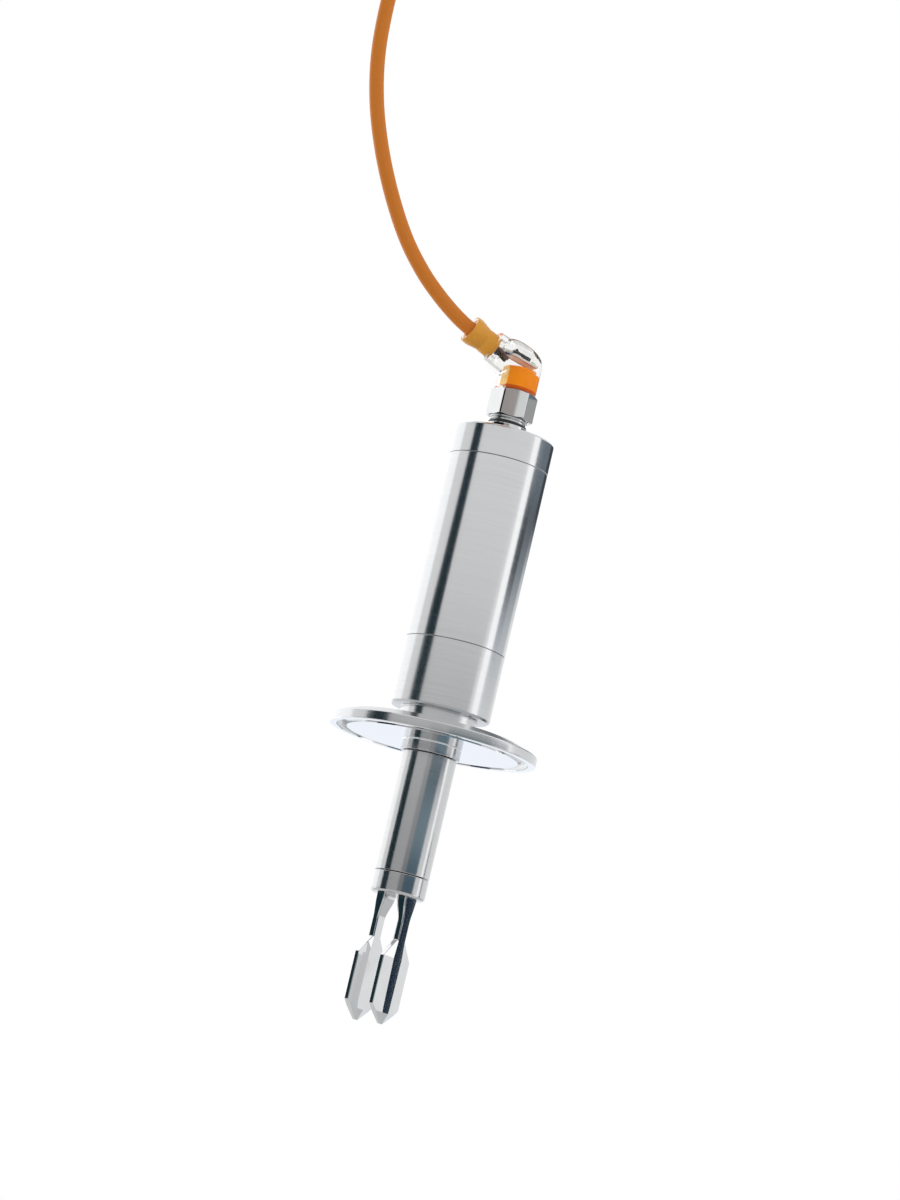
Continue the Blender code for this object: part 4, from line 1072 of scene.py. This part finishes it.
# %% [markdown]
# ## The M12 socket and its thread
#
# The socket's collar is turned steel with an undercut, and its thread starts above it. A thread follows a
# rule, a small triangle swept up a helix, so Geometry Nodes sweep it. The same tree winds the copper
# coil on the circuit board inside.


# %% The helix tree
def helix_tree():
    sizes = {"Turns": 4.0, "Radius": 0.005, "Height": 0.004, "Wire radius": 0.0003}
    tree, given = new_tree("helix_sweep", {**sizes, "Wire sides": 3, "Smooth": 48})
    bends = {"Resolution": given["Smooth"], "Rotations": given["Turns"], "Height": given["Height"]}
    ends = {"Start Radius": given["Radius"], "End Radius": given["Radius"]}
    spiral = add_node(tree, "GeometryNodeCurveSpiral", {**bends, **ends})
    circle = {"Resolution": given["Wire sides"], "Radius": given["Wire radius"]}
    wire = add_node(tree, "GeometryNodeCurvePrimitiveCircle", circle)
    swept = {"Curve": spiral, "Profile Curve": wire, "Fill Caps": True}
    return close_tree(tree, add_node(tree, "GeometryNodeCurveToMesh", swept), hidden_steel)


helix = helix_tree()


# %% The socket
THREAD_RADIUS = 0.00585
THREAD_DEPTH = 0.00045
THREAD_PITCH = 0.001
UNDERCUT_RADIUS = 0.0053
SOCKET_BASE_LENGTH = 0.0026
UNDERCUT = 0.0006
SEAL_RADIUS = 0.00045
MOUTH_RADIUS = 0.0047
SOCKET_DEPTH = 0.0098
THREAD_CHAMFER = 0.0004
COLLAR_EDGE = 0.0003


def make_socket():
    radius, bottom, top = span("socket_collar")
    base = span("housing_cover")[2] + SEAT_GAP
    groove = base + SOCKET_BASE_LENGTH
    thread = groove + UNDERCUT
    inner = MOUTH_RADIUS - SEAT_GAP
    root = THREAD_RADIUS - THREAD_DEPTH
    shoulder = top - SOCKET_DEPTH
    corners = [
        (root - THREAD_CHAMFER / 2, top, EDGE), (root, top - THREAD_CHAMFER, EDGE), (root, thread, EDGE),
        (UNDERCUT_RADIUS, thread, EDGE), (UNDERCUT_RADIUS, groove, EDGE), (radius, groove, COLLAR_EDGE),
        (radius, base, EDGE), (UNDERCUT_RADIUS, base, EDGE), (UNDERCUT_RADIUS, bottom, EDGE),
        (inner, bottom, EDGE), (inner, shoulder, EDGE),
        (MOUTH_RADIUS, shoulder, EDGE), (MOUTH_RADIUS, top, EDGE),
    ]
    keep(lathe("collar", corners, nut_steel, 128), "switch", ["socket_collar"])
    turns = math.floor((top - thread - 2 * THREAD_DEPTH) / THREAD_PITCH)
    sizes = {"Turns": float(turns), "Radius": root, "Height": turns * THREAD_PITCH}
    sizes |= {"Wire radius": THREAD_DEPTH, "Wire sides": 12}
    place = Matrix.Translation(UP * (thread + THREAD_DEPTH))
    keep(from_tree("socket_thread", helix, sizes, nut_steel, place), "switch")
    seal = arc((UNDERCUT_RADIUS + SEAL_RADIUS / 2, groove + UNDERCUT / 2), SEAL_RADIUS, 0, 345, 23)
    keep(lathe("socket_seal", seal, black_rubber, 128), "switch")


make_socket()


# %% The drive coil's winding
COIL_WIRE = 0.00022
WINDING_PITCH = 2.05 * COIL_WIRE


def make_winding():
    """Fine copper turns round the drive coil's form."""
    low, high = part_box("drive_coil")
    length = high[1] - low[1] - 4 * COIL_WIRE
    sizes = {"Turns": length / WINDING_PITCH, "Radius": (high[2] - low[2]) / 2 - COIL_WIRE, "Height": length}
    sizes |= {"Wire radius": COIL_WIRE, "Wire sides": 8, "Smooth": 32}
    centre = (low + high) / 2
    start = Matrix.Translation((centre[0], high[1] - 2 * COIL_WIRE, centre[2]))
    place = start @ Matrix.Rotation(math.pi / 2, 4, "X")
    keep(from_tree("coil_winding", helix, sizes, copper, place), "switch")


make_winding()


# %% [markdown]
# ## The union nut
#
# The nut is hexagon bar. A turned form takes its corners off at each end, which leaves the curved edges
# that every nut has. Here a hexagon with rounded corners is cut with that form by a Boolean.

# %% The union nut
NUT_FLATS = 0.0130
NUT_TURN_DEG = 43.0
NUT_BEVEL_DEG = 30.0
NUT_CORNER = 0.0009
NUT_LIP = 0.0018
NUT_LIP_RADIUS = 0.0050
NUT_CLEARANCE = 0.00015
NUT_MOUTH = 0.0004


def cut(obj, other, operation):
    modifier = obj.modifiers.new(operation.title(), "BOOLEAN")
    modifier.operation = operation
    modifier.solver = "EXACT"
    modifier.object = other
    settle(obj)
    bpy.data.objects.remove(other, do_unlink=True)
    return obj


# %% Cutting the nut
def make_nut():
    low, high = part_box("coupling_nut")
    bottom, top = low[2], high[2]
    flat = NUT_FLATS / 2
    corner = flat / math.cos(math.pi / 6)
    drop = (corner - flat) * math.tan(math.radians(NUT_BEVEL_DEG))
    bore = THREAD_RADIUS + NUT_CLEARANCE
    corners = [
        (flat, top), (corner + SEAT_GAP, top - drop), (corner + SEAT_GAP, bottom + drop), (flat, bottom),
        (bore + NUT_MOUTH, bottom), (bore, bottom + NUT_MOUTH), (bore, top - NUT_LIP),
        (NUT_LIP_RADIUS, top - NUT_LIP), (NUT_LIP_RADIUS, top),
    ]
    form = lathe("nut_form", corners, nut_steel, 144)
    outline = []
    for i in range(6):
        turn = NUT_TURN_DEG + 60.0 * i
        reach = corner - NUT_CORNER / math.cos(math.pi / 6)
        centre = (reach * math.cos(math.radians(turn)), reach * math.sin(math.radians(turn)))
        outline += arc(centre, NUT_CORNER, turn - 30.0, turn + 30.0, 6)
    ends = [[(x, y, z) for x, y in outline] for z in (bottom - SEAT_GAP, top + SEAT_GAP)]
    nut = cut(loft("union_nut", ends, nut_steel), form, "INTERSECT")
    smooth(nut.data, 22.0)
    keep(nut, "nut", ["coupling_nut"])


make_nut()


# %% [markdown]
# ## The clear elbow
#
# The plug's body is moulded clear, so that two signal lights show through it. It is an upright barrel and a
# tapered arm that grow into each other. Both are turned shapes, joined and bored by Booleans, as the tool
# that moulds them is made.

# %% The elbow
ELBOW_HEIGHT = 0.0139
ELBOW_TOP_RADIUS = 0.0022
ELBOW_RADIUS = 0.00645
ELBOW_BORE = 0.0056
ELBOW_ROOF = 0.0016
ARM_LENGTH = 0.0118
ARM_ROOT_RADIUS = 0.0062
ARM_END_RADIUS = 0.0052
ARM_BORE = 0.0041
CUTTER_REACH = 0.002
FOOT_EDGE = 0.0002
ARM_EDGE = 0.0003
BORE_EDGE = 0.0008


def lay_along_arm(obj):
    tilt = Matrix.Rotation(math.pi / 2 - ARM_RISE, 4, "Y")
    obj.matrix_world = Matrix.Translation(arm_origin) @ Matrix.Rotation(ARM_AZIMUTH, 4, "Z") @ tilt
    return settle(obj)


def rod(name, radius, bottom, top, finish, edge=0.0):
    """A round bar. Its ends are closed on the axis, with their edges broken if edge is given."""
    centre = radius - edge
    low = arc((centre, bottom + edge), edge, -90.0, 0.0, 4) if edge else [(radius, bottom)]
    high = arc((centre, top - edge), edge, 0.0, 90.0, 4) if edge else [(radius, top)]
    return lathe(name, [(0.0, bottom), *low, *high, (0.0, top)], finish, 64, closed=False)


def slope_top(obj, above):
    """Tilts everything above a height parallel to the arm, as a shear that keeps the sides upright."""
    for vertex in obj.data.vertices:
        if vertex.co.z > above:
            vertex.co.z += math.tan(ARM_RISE) * vertex.co.dot(arm_out)
    return obj


# %% Shaping the elbow
def make_elbow():
    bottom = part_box("plug_elbow")[0][2]
    top = bottom + ELBOW_HEIGHT
    crown = arc((ELBOW_RADIUS - ELBOW_TOP_RADIUS, top - ELBOW_TOP_RADIUS), ELBOW_TOP_RADIUS, 0, 90, 12)
    foot = [(0.0, bottom), (ELBOW_RADIUS - FOOT_EDGE, bottom), (ELBOW_RADIUS, bottom + FOOT_EDGE)]
    barrel = lathe("elbow", [*foot, *crown, (0.0, top)], clear_plastic, 96, closed=False)
    slope_top(barrel, bottom + ARM_HEIGHT)
    side = [(ARM_ROOT_RADIUS, 0.0), (ARM_END_RADIUS, ARM_LENGTH - ARM_EDGE)]
    end = [(ARM_END_RADIUS - ARM_EDGE, ARM_LENGTH), (0.0, ARM_LENGTH)]
    arm = lathe("arm", [(0.0, 0.0), *side, *end], clear_plastic, 96, closed=False)
    cut(barrel, lay_along_arm(arm), "UNION")
    bore = rod("barrel_bore", ELBOW_BORE, bottom - CUTTER_REACH, top - ELBOW_ROOF, clear_plastic, BORE_EDGE)
    cut(barrel, slope_top(bore, bottom + ARM_HEIGHT), "DIFFERENCE")
    arm_bore = rod("arm_bore", ARM_BORE, 0.0, ARM_LENGTH + CUTTER_REACH, clear_plastic)
    cut(barrel, lay_along_arm(arm_bore), "DIFFERENCE")
    smooth(barrel.data, 28.0)
    keep(barrel, "plug", ["plug_elbow"])


make_elbow()


# %% [markdown]
# ## Inside the elbow
#
# An orange block fills the lower barrel. A small white board leans over it with a driver chip and two
# lights, and copper strips run along its edges. The cable's four cores come out of the sleeve: two are
# soldered to the board and two dive past it. They are small, but the clear body shows them all.


# %% The orange block
MOULDED_IN = 0.00005
BLOCK_FLAT = 0.00455
BLOCK_FOOT = 0.0010
BLOCK_DROP = 0.0010
# How far inwards and down from its top edge each corner of the block's shoulder lies.
BLOCK_SHOULDER = [(0.0, 0.0012), (0.0005, 0.0008), (0.0005, 0.0002), (0.0007, 0.0)]


def block_finish(bottom):
    """Clear orange with a painted highlight on its flat flank on the arm's side, a faint painted glow and a
    deeper red foot.
    """
    plastic = Finish("orange_plastic")
    outwards = plastic.axis("X") * arm_out.x + plastic.axis("Y") * arm_out.y
    # A painted highlight: the flat flank on the arm's side turns pale orange, whatever the lamps do.
    painted_highlight = outwards.ramp(BLOCK_FLAT - 0.00012, BLOCK_FLAT - 0.00004)
    foot = 1 - plastic.axis("Z").ramp(bottom + BLOCK_FOOT * 0.6, bottom + BLOCK_FOOT)
    tone = plastic.noise(180.0)
    body = plastic.mix(tone, (0.90, 0.20, 0.002, 1.0), (1.0, 0.34, 0.004, 1.0))
    body_with_highlight = plastic.mix(painted_highlight, body, (1.0, 0.62, 0.12, 1.0))
    return plastic.done(
        Base_Color=plastic.mix(foot, body_with_highlight, (0.55, 0.055, 0.002, 1.0)),
        Roughness=0.24 + 0.12 * tone,
        Normal=plastic.bump(plastic.noise(420.0), 0.000008),
        # A faint painted glow in the block's own orange: the block is no lamp.
        Emission_Color=body,
        Emission_Strength=0.12,
        Specular_IOR_Level=0.1,
    )


def make_block():
    bottom, top = span("plug_core")[1:]
    top -= BLOCK_DROP
    radius = ELBOW_BORE + MOULDED_IN
    shoulder = [(radius - inwards, top - down) for inwards, down in BLOCK_SHOULDER]
    corners = [(0.0, bottom), (radius, bottom), *shoulder, (0.0, top)]
    block = lathe("orange_block", corners, block_finish(bottom), 128, closed=False)
    for vertex in block.data.vertices:
        beyond = vertex.co.dot(arm_out) - BLOCK_FLAT
        if beyond > 0:
            vertex.co -= arm_out * beyond
    smooth(block.data, 20.0)
    keep(block, "plug", ["plug_core"])


make_block()


# %% The board and its lights
BOARD_TILT = math.radians(12.0)
BOARD_HALF = 0.0045
BOARD_THICKNESS = 0.0006
BOARD_EDGE = 0.00008
CHIP_EDGE = 0.00015
LIGHT_EDGE = 0.0002
CHIP_SCALE = (1.45, 1.25, 1.0, 1.0)
LEAD_ACROSS = 0.0022
LEAD_WIDTH = 0.0004
LEAD_THICKNESS = 0.0001
LEAD_GAP = 0.00006
LEAD_REACH = BOARD_HALF * 0.95
board_centre = (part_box("led_board")[0][2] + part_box("led_board")[1][2]) / 2
board_frame = Matrix.Rotation(ARM_AZIMUTH, 4, "Z") @ Matrix.Rotation(-BOARD_TILT, 4, "Y")
board_frame = Matrix.Translation(UP * board_centre) @ board_frame


def soften(node, edge, finish):
    """A copy of a CAD solid with its doubled corners merged and its edges rounded."""
    bm = bmesh.new()
    bm.from_mesh(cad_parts[node].data)
    return settle(rounded_edges(mesh_object(f"{node}_piece", bm, finish), edge))


def make_lights():
    keep(soften("led_board", BOARD_EDGE, board_white), "plug", ["led_board"])
    chip = soften("led_driver", CHIP_EDGE, black_plastic)
    for step in (board_frame.inverted(), Matrix.Diagonal(CHIP_SCALE), board_frame):
        chip.data.transform(step)
    keep(chip, "plug", ["led_driver"])
    keep(soften("led_green", LIGHT_EDGE, green_light), "plug", ["led_green"])
    keep(soften("led_yellow", LIGHT_EDGE, yellow_light), "plug", ["led_yellow"])
    high = -BOARD_THICKNESS / 2 - LEAD_GAP + LEAD_THICKNESS / 2
    low = high - LEAD_THICKNESS
    side = LEAD_WIDTH / 2
    for i, across in enumerate((-LEAD_ACROSS, LEAD_ACROSS)):
        ends = []
        for x in (-LEAD_REACH, LEAD_REACH):
            ends.append([(x, -side, high), (x, -side, low), (x, side, low), (x, side, high)])
        lead = loft(f"lead_strip_{i + 1}", ends, copper)
        lead.matrix_world = board_frame @ Matrix.Translation((0.0, across, 0.0))
        keep(settle(lead), "plug")


make_lights()


# %% The wires and their solder
WIRE_SPREAD = 0.0009
WIRE_STRAIGHT = 0.0016
WIRE_BEND = Vector((0.0006, 0.0, 0.0003))
BEND_SHARE = 0.55
WIRE_STEP = 0.0004
JACKET_GAP = 0.0003
PAD_PITCH = 0.0018
PAD_REACH = BOARD_HALF * 0.80
WIRE_REACH = BOARD_HALF * 0.84
DIVE_OUT = 0.0051


def pad_tree():
    """Solder pads in a row: flat rounded drops on the points of a line."""
    tree, given = new_tree("solder_pads", {"Pads": 2, "Pitch": 0.0012, "Radius": 0.0004})
    step = add_node(tree, "ShaderNodeCombineXYZ", {"Y": given["Pitch"]})
    row = add_node(tree, "GeometryNodeMeshLine", {"Count": given["Pads"], "Offset": step}, mode="OFFSET")
    drop = add_node(tree, "GeometryNodeMeshUVSphere", {"Segments": 16, "Rings": 8, "Radius": given["Radius"]})
    spots = {"Points": row, "Instance": drop, "Scale": (1.4, 1.0, 0.45)}
    return close_tree(tree, add_node(tree, "GeometryNodeInstanceOnPoints", spots), solder)


def make_arm_wires():
    """The cores between the jacket's end and the board. x runs out along the arm, y across it and z up."""
    face = board_centre + WIRE_REACH * math.sin(BOARD_TILT) + BOARD_THICKNESS / 2 + CORE_DIAMETER / 2
    low = span("plug_core")[2] + CORE_DIAMETER / 2
    pads = [(0.0037, PAD_PITCH / 2, face), (0.0037, -PAD_PITCH / 2, face)]
    ends = [(DIVE_OUT, 0.0016, low), *pads, (DIVE_OUT, -0.0012, low)]
    turn = Matrix.Rotation(ARM_AZIMUTH, 4, "Z")
    start = SLEEVE_START + CABLE_DIAMETER / 2 + JACKET_GAP
    for i, ((colour, finish), end) in enumerate(zip(CORES, ends)):
        angle = math.radians(45.0 + 90.0 * i)
        side = Vector((0.0, math.cos(angle), math.sin(angle))) * WIRE_SPREAD
        points = []
        for run in (start, start - WIRE_STRAIGHT):
            rise = arm_origin.z + run * math.sin(ARM_RISE)
            points.append(Vector((run * math.cos(ARM_RISE), 0.0, rise)) + side)
        bend = points[-1].lerp(Vector(end), BEND_SHARE) + WIRE_BEND
        route = smooth_route([turn @ p for p in (*points, bend, Vector(end))], WIRE_STEP)
        keep(tube(f"arm_wire_{colour}", route, CORE_DIAMETER / 2, finish, 12), "plug")
    place = board_frame @ Matrix.Translation((PAD_REACH, -PAD_PITCH / 2, BOARD_THICKNESS / 2))
    sizes = {"Pads": 2, "Pitch": PAD_PITCH}
    keep(from_tree("board_solder", pad_tree(), sizes, solder, place), "plug")


make_arm_wires()


# %% [markdown]
# ## The sleeve
#
# The sleeve grips the cable in the arm and flares where the cable leaves it. It is a soft amber grommet,
# and its flare is a clear ring moulded round it, which shows as a pale rim.

# %% The sleeve
FLARE_START = 0.0150
FLARE_RADIUS = 0.0045
FLARE_RIM = 0.0020
AMBER_RADIUS = 0.0037
AMBER_START = 0.0106
AMBER_INSET = 0.0003
SLEEVE_GAP = 0.0001
SOFT_CORNER = 0.0015


def make_sleeve():
    fit = ARM_BORE - SEAT_GAP
    bore = CABLE_DIAMETER / 2 + SLEEVE_GAP
    end = SLEEVE_END - AMBER_INSET
    amber = [
        (AMBER_RADIUS, end, 0.0004), (AMBER_RADIUS, FLARE_START, SOFT_CORNER),
        (fit, FLARE_START - 0.0010, SOFT_CORNER), (fit, AMBER_START, 0.0004),
        (bore, AMBER_START, EDGE), (bore, end, 0.0003),
    ]
    flare = [
        (FLARE_RADIUS, SLEEVE_END, 0.0006), (FLARE_RADIUS, SLEEVE_END - FLARE_RIM, SOFT_CORNER),
        (AMBER_RADIUS, FLARE_START, 0.0005), (AMBER_RADIUS - MOULDED_IN, FLARE_START),
        (AMBER_RADIUS - MOULDED_IN, SLEEVE_END, 0.0003),
    ]
    root = [(r, along, EDGE) for r, along in (
        (fit, AMBER_START), (fit, SLEEVE_START), (bore, SLEEVE_START), (bore, AMBER_START),
    )]
    grommet = lay_along_arm(lathe("grommet", amber, amber_plastic, 96))
    keep(grommet, "plug", ["cable_sleeve"])
    keep(lay_along_arm(lathe("sleeve_flare", flare, frosted_plastic, 96)), "plug")
    keep(lay_along_arm(lathe("sleeve_root", root, frosted_plastic, 96)), "plug")


make_sleeve()


# %% [markdown]
# ## Finishes on the carried CAD nodes
#
# The pieces inside the switch keep their CAD solids. They are seen only when the plug is pulled off, and
# each still gets its own finish.

# %% Paint the carried nodes
CARRIED = {
    "board_carrier": black_plastic,
    "circuit_board": board_green,
    "contact_carrier": black_plastic,
    "contact_holder": black_plastic,
    "contact_pin": gold,
    "controller_chip": black_plastic,
    "cover_seal": black_rubber,
    "drive_coil": copper,
    "piezo_electrode": copper,
    "piezo_nut": hidden_steel,
    "piezo_ring": piezo_ceramic,
    "piezo_washer": white_ceramic,
    "piezo_wire_1": red_wire,
    "piezo_wire_2": blue_wire,
    "plug_seal": black_rubber,
    "smoothing_capacitor": aluminium,
    "socket_contact": gold,
}
painted = 0
for name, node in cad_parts.items():
    for start, finish in CARRIED.items():
        if name.startswith(start):
            painted += 1
            for slot in node.material_slots:
                slot.material = finish
print("carried nodes painted:", painted)


# %% [markdown]
# ## The studio
#
# Polished metal shows the room more than itself. The photograph's studio is white all round, with dark
# flags that draw the long dark bands on the tube. The cards here hang on arcs round the switch, and only
# reflections see them. Two tall soft lamps light the sides, and a pale floor lies well below.

# %% The world and the floor
FLOOR_HEIGHT = -0.45
FLOOR_HALF = 6.0
AMBIENT = 0.72


def make_world():
    """White to the camera, in reflections and through the plug, and a little dimmer as light."""
    world = bpy.data.worlds.new("studio")
    bpy.context.scene.world = world
    world.use_nodes = True
    tree = world.node_tree
    rays = tree.nodes.new("ShaderNodeLightPath").outputs
    seen = rays["Is Camera Ray"]
    for kind in ("Is Glossy Ray", "Is Transmission Ray"):
        seen = add_node(tree, "ShaderNodeMath", {0: seen, 1: rays[kind]}, operation="MAXIMUM")
    level = add_node(tree, "ShaderNodeMapRange", {"Value": seen, "To Min": AMBIENT, "To Max": 1.0})
    feed(tree, tree.nodes["Background"].inputs["Strength"], level)
    feed(tree, tree.nodes["Background"].inputs["Color"], (1.0, 1.0, 1.0, 1.0))


def make_floor():
    signs = ((-1, -1), (1, -1), (1, 1), (-1, 1))
    mesh = bpy.data.meshes.new("floor")
    mesh.from_pydata([(x * FLOOR_HALF, y * FLOOR_HALF, FLOOR_HEIGHT) for x, y in signs], [], [(0, 1, 2, 3)])
    mesh.materials.append(Finish("floor").done(Base_Color=(0.86, 0.86, 0.86, 1.0), Roughness=0.9))
    floor = put("floor", mesh)


make_world()
make_floor()


# %% A card
CARD_STEP_DEG = 4.0


def around(degrees, distance, height):
    """A point round the switch: 0 degrees faces the camera and 90 is on the picture's right."""
    angle = math.radians(degrees)
    return (photo_right * math.sin(angle) + photo_front * math.cos(angle)) * distance + UP * height


def card(name, start, end, distance, levels, strength=1.0):
    """A curved sheet that only reflections see, graded by height through its (height, colour) levels.

    Seen through the clear plug it is white like the room, so that the plug stays clear.
    """
    bm = bmesh.new()
    steps = max(2, int(abs(end - start) / CARD_STEP_DEG))
    low, high = levels[0][0], levels[-1][0]
    rows = []
    for degrees in [start + (end - start) * step / steps for step in range(steps + 1)]:
        rows.append([bm.verts.new(around(degrees, distance, height)) for height in (low, high)])
    for here, there in zip(rows, rows[1:]):
        bm.faces.new((here[0], there[0], there[1], here[1]))
    paint = Finish(name)
    share = paint.node("ShaderNodeMapRange", {"Value": paint.axis("Z"), "From Min": low, "From Max": high})
    stops = [((height - low) / (high - low), (*colour, 1.0)) for height, colour in levels]
    shades = paint.node("ShaderNodeValToRGB", {"Fac": share}, stops)
    depth = paint.node("ShaderNodeLightPath", {}).outputs["Transmission Depth"]
    shown = paint.mix(paint.maths("GREATER_THAN", depth, 0.5), shades, (1.0, 1.0, 1.0, 1.0))
    glow = paint.node("ShaderNodeEmission", {"Color": shown, "Strength": strength})
    feed(paint.tree, paint.tree.nodes["Material Output"].inputs["Surface"], glow)
    obj = mesh_object(name, bm, paint.material)
    for ray in ("camera", "diffuse", "transmission", "shadow"):
        setattr(obj, f"visible_{ray}", False)


# %% Lamps
LAMP_AIM = UP * 0.05


def lamp(name, degrees, distance, height, width, tall, power):
    light = bpy.data.lights.new(name, "AREA")
    light.shape = "RECTANGLE"
    light.size, light.size_y = width, tall
    light.energy = power
    place = around(degrees, distance, height)
    aim = (LAMP_AIM - place).to_track_quat("-Z", "Y").to_matrix().to_4x4()
    put(name, light).matrix_world = Matrix.Translation(place) @ aim


lamp("lamp_left", -128.0, 1.1, 0.35, 0.5, 1.3, 3.4)
lamp("lamp_right", 82.0, 1.0, 0.35, 0.18, 1.2, 1.4)
bpy.context.scene.view_settings.view_transform = "Standard"
print("lamps:", len(bpy.data.lights))


# %% [markdown]
# ## Where the cards hang
#
# Each card was placed by asking which part of the room a spot of steel mirrors. A row gives a card's name,
# the degrees where it starts and ends, its distance, its levels, and its strength where that isn't 1. The
# colours are linear, and a card whose colour changes with height draws a band that changes down the tube.

# %% The cards' colours
WHITE = (1.0, 1.0, 1.0)
COOL_WHITE = (0.90, 0.93, 0.99)
BLACK = (0.008, 0.010, 0.012)
TEAL = (0.014, 0.034, 0.045)
NAVY = (0.012, 0.030, 0.052)
WARM_GREY = (0.47, 0.43, 0.41)


def plain(tone):
    return (tone, tone, tone)


# %% Every card
CARDS = [
    ("sealing_face_light", 110.0, 250.0, 0.66, [(-0.20, COOL_WHITE), (-0.055, COOL_WHITE)], 1.07),
    ("fork_right_flat", 99.0, 103.9, 0.25, [(-0.09, NAVY), (-0.002, NAVY)]),
    ("band_right_near", 88.8, 108.0, 0.30, [
        (0.045, WHITE), (0.0685, (0.83, 0.86, 0.89)), (0.0885, (0.52, 0.55, 0.62)),
        (0.1080, (0.035, 0.050, 0.058)), (0.1305, (0.055, 0.070, 0.085)),
        (0.1415, (0.24, 0.28, 0.32)), (0.19, (0.24, 0.28, 0.32)),
    ]),
    ("band_right_far", 108.0, 138.0, 0.30, [
        (0.045, WHITE), (0.0885, (0.66, 0.69, 0.72)), (0.1080, (0.31, 0.35, 0.38)),
        (0.1305, (0.105, 0.12, 0.14)), (0.1415, (0.19, 0.23, 0.27)), (0.19, (0.19, 0.23, 0.27)),
    ]),
    ("band_right_edge", 138.0, 178.0, 0.30, [
        (0.045, WHITE), (0.0885, WHITE), (0.1080, (0.66, 0.69, 0.72)),
        (0.1305, (0.05, 0.06, 0.07)), (0.19, (0.07, 0.08, 0.09)),
    ]),
    ("nut_right", 116.0, 130.0, 0.05, [(0.1085, plain(0.47)), (0.121, plain(0.47))]),
    ("nut_left_corner", -80.0, -20.0, 0.05, [(0.1085, BLACK), (0.121, BLACK)]),
    ("nut_front", -30.0, 10.5, 0.06, [(0.1105, WARM_GREY), (0.127, WARM_GREY)]),
    ("pipe_band", 12.0, 59.0, 0.12, [
        (-0.060, (0.05, 0.09, 0.13)), (-0.0265, (0.09, 0.15, 0.20)), (-0.0175, (0.24, 0.33, 0.38)),
        (-0.0065, (0.23, 0.31, 0.36)), (0.0060, (0.08, 0.135, 0.17)), (0.013, (0.08, 0.135, 0.17)),
    ]),
    ("pipe_middle", -6.0, 12.0, 0.12, [
        (-0.060, plain(0.20)), (-0.0265, plain(0.28)), (-0.0175, plain(0.38)), (0.013, plain(0.42)),
    ]),
    ("pipe_edge", 59.0, 82.0, 0.12, [
        (-0.060, plain(0.84)), (-0.0175, plain(0.86)), (-0.0065, plain(0.78)), (0.006, plain(0.56)),
    ]),
    ("pipe_edge_high", 59.0, 78.0, 0.12, [(0.006, (0.20, 0.24, 0.29)), (0.016, (0.28, 0.32, 0.38))]),
    ("front", -52.0, 62.0, 0.30, [
        (-0.10, plain(0.45)), (0.003, plain(0.50)), (0.0385, plain(0.63)), (0.0685, plain(0.75)),
        (0.0885, plain(0.89)), (0.1305, plain(0.98)), (0.30, WHITE),
    ]),
    ("panel_right", 72.0, 93.0, 0.66, [(-0.30, WHITE), (0.80, WHITE)], 1.45),
    ("panel_left", -170.0, -104.0, 0.66, [(-0.30, WHITE), (0.80, WHITE)], 1.45),
]

# The dark band on the left is narrower at the ferrule's rim and near the cover. Each row gives where a
# stretch of it starts, in degrees, and the height where the stretch begins. The last row is its top.
BAND_LEFT = [(-81.0, -0.30), (-74.5, 0.087), (-79.5, 0.098), (-76.0, 0.140), (-73.8, 0.176), (0.0, 0.60)]
BAND_LEFT_END = -52.0
BAND_LEFT_DISTANCE = 0.55
for number, ((start, low), (_, high)) in enumerate(zip(BAND_LEFT, BAND_LEFT[1:])):
    dark = [(low, TEAL), (high, TEAL)]
    CARDS.append((f"band_left_{number + 1}", start, BAND_LEFT_END, BAND_LEFT_DISTANCE, dark))
for values in CARDS:
    card(*values)
print("cards:", len(CARDS))
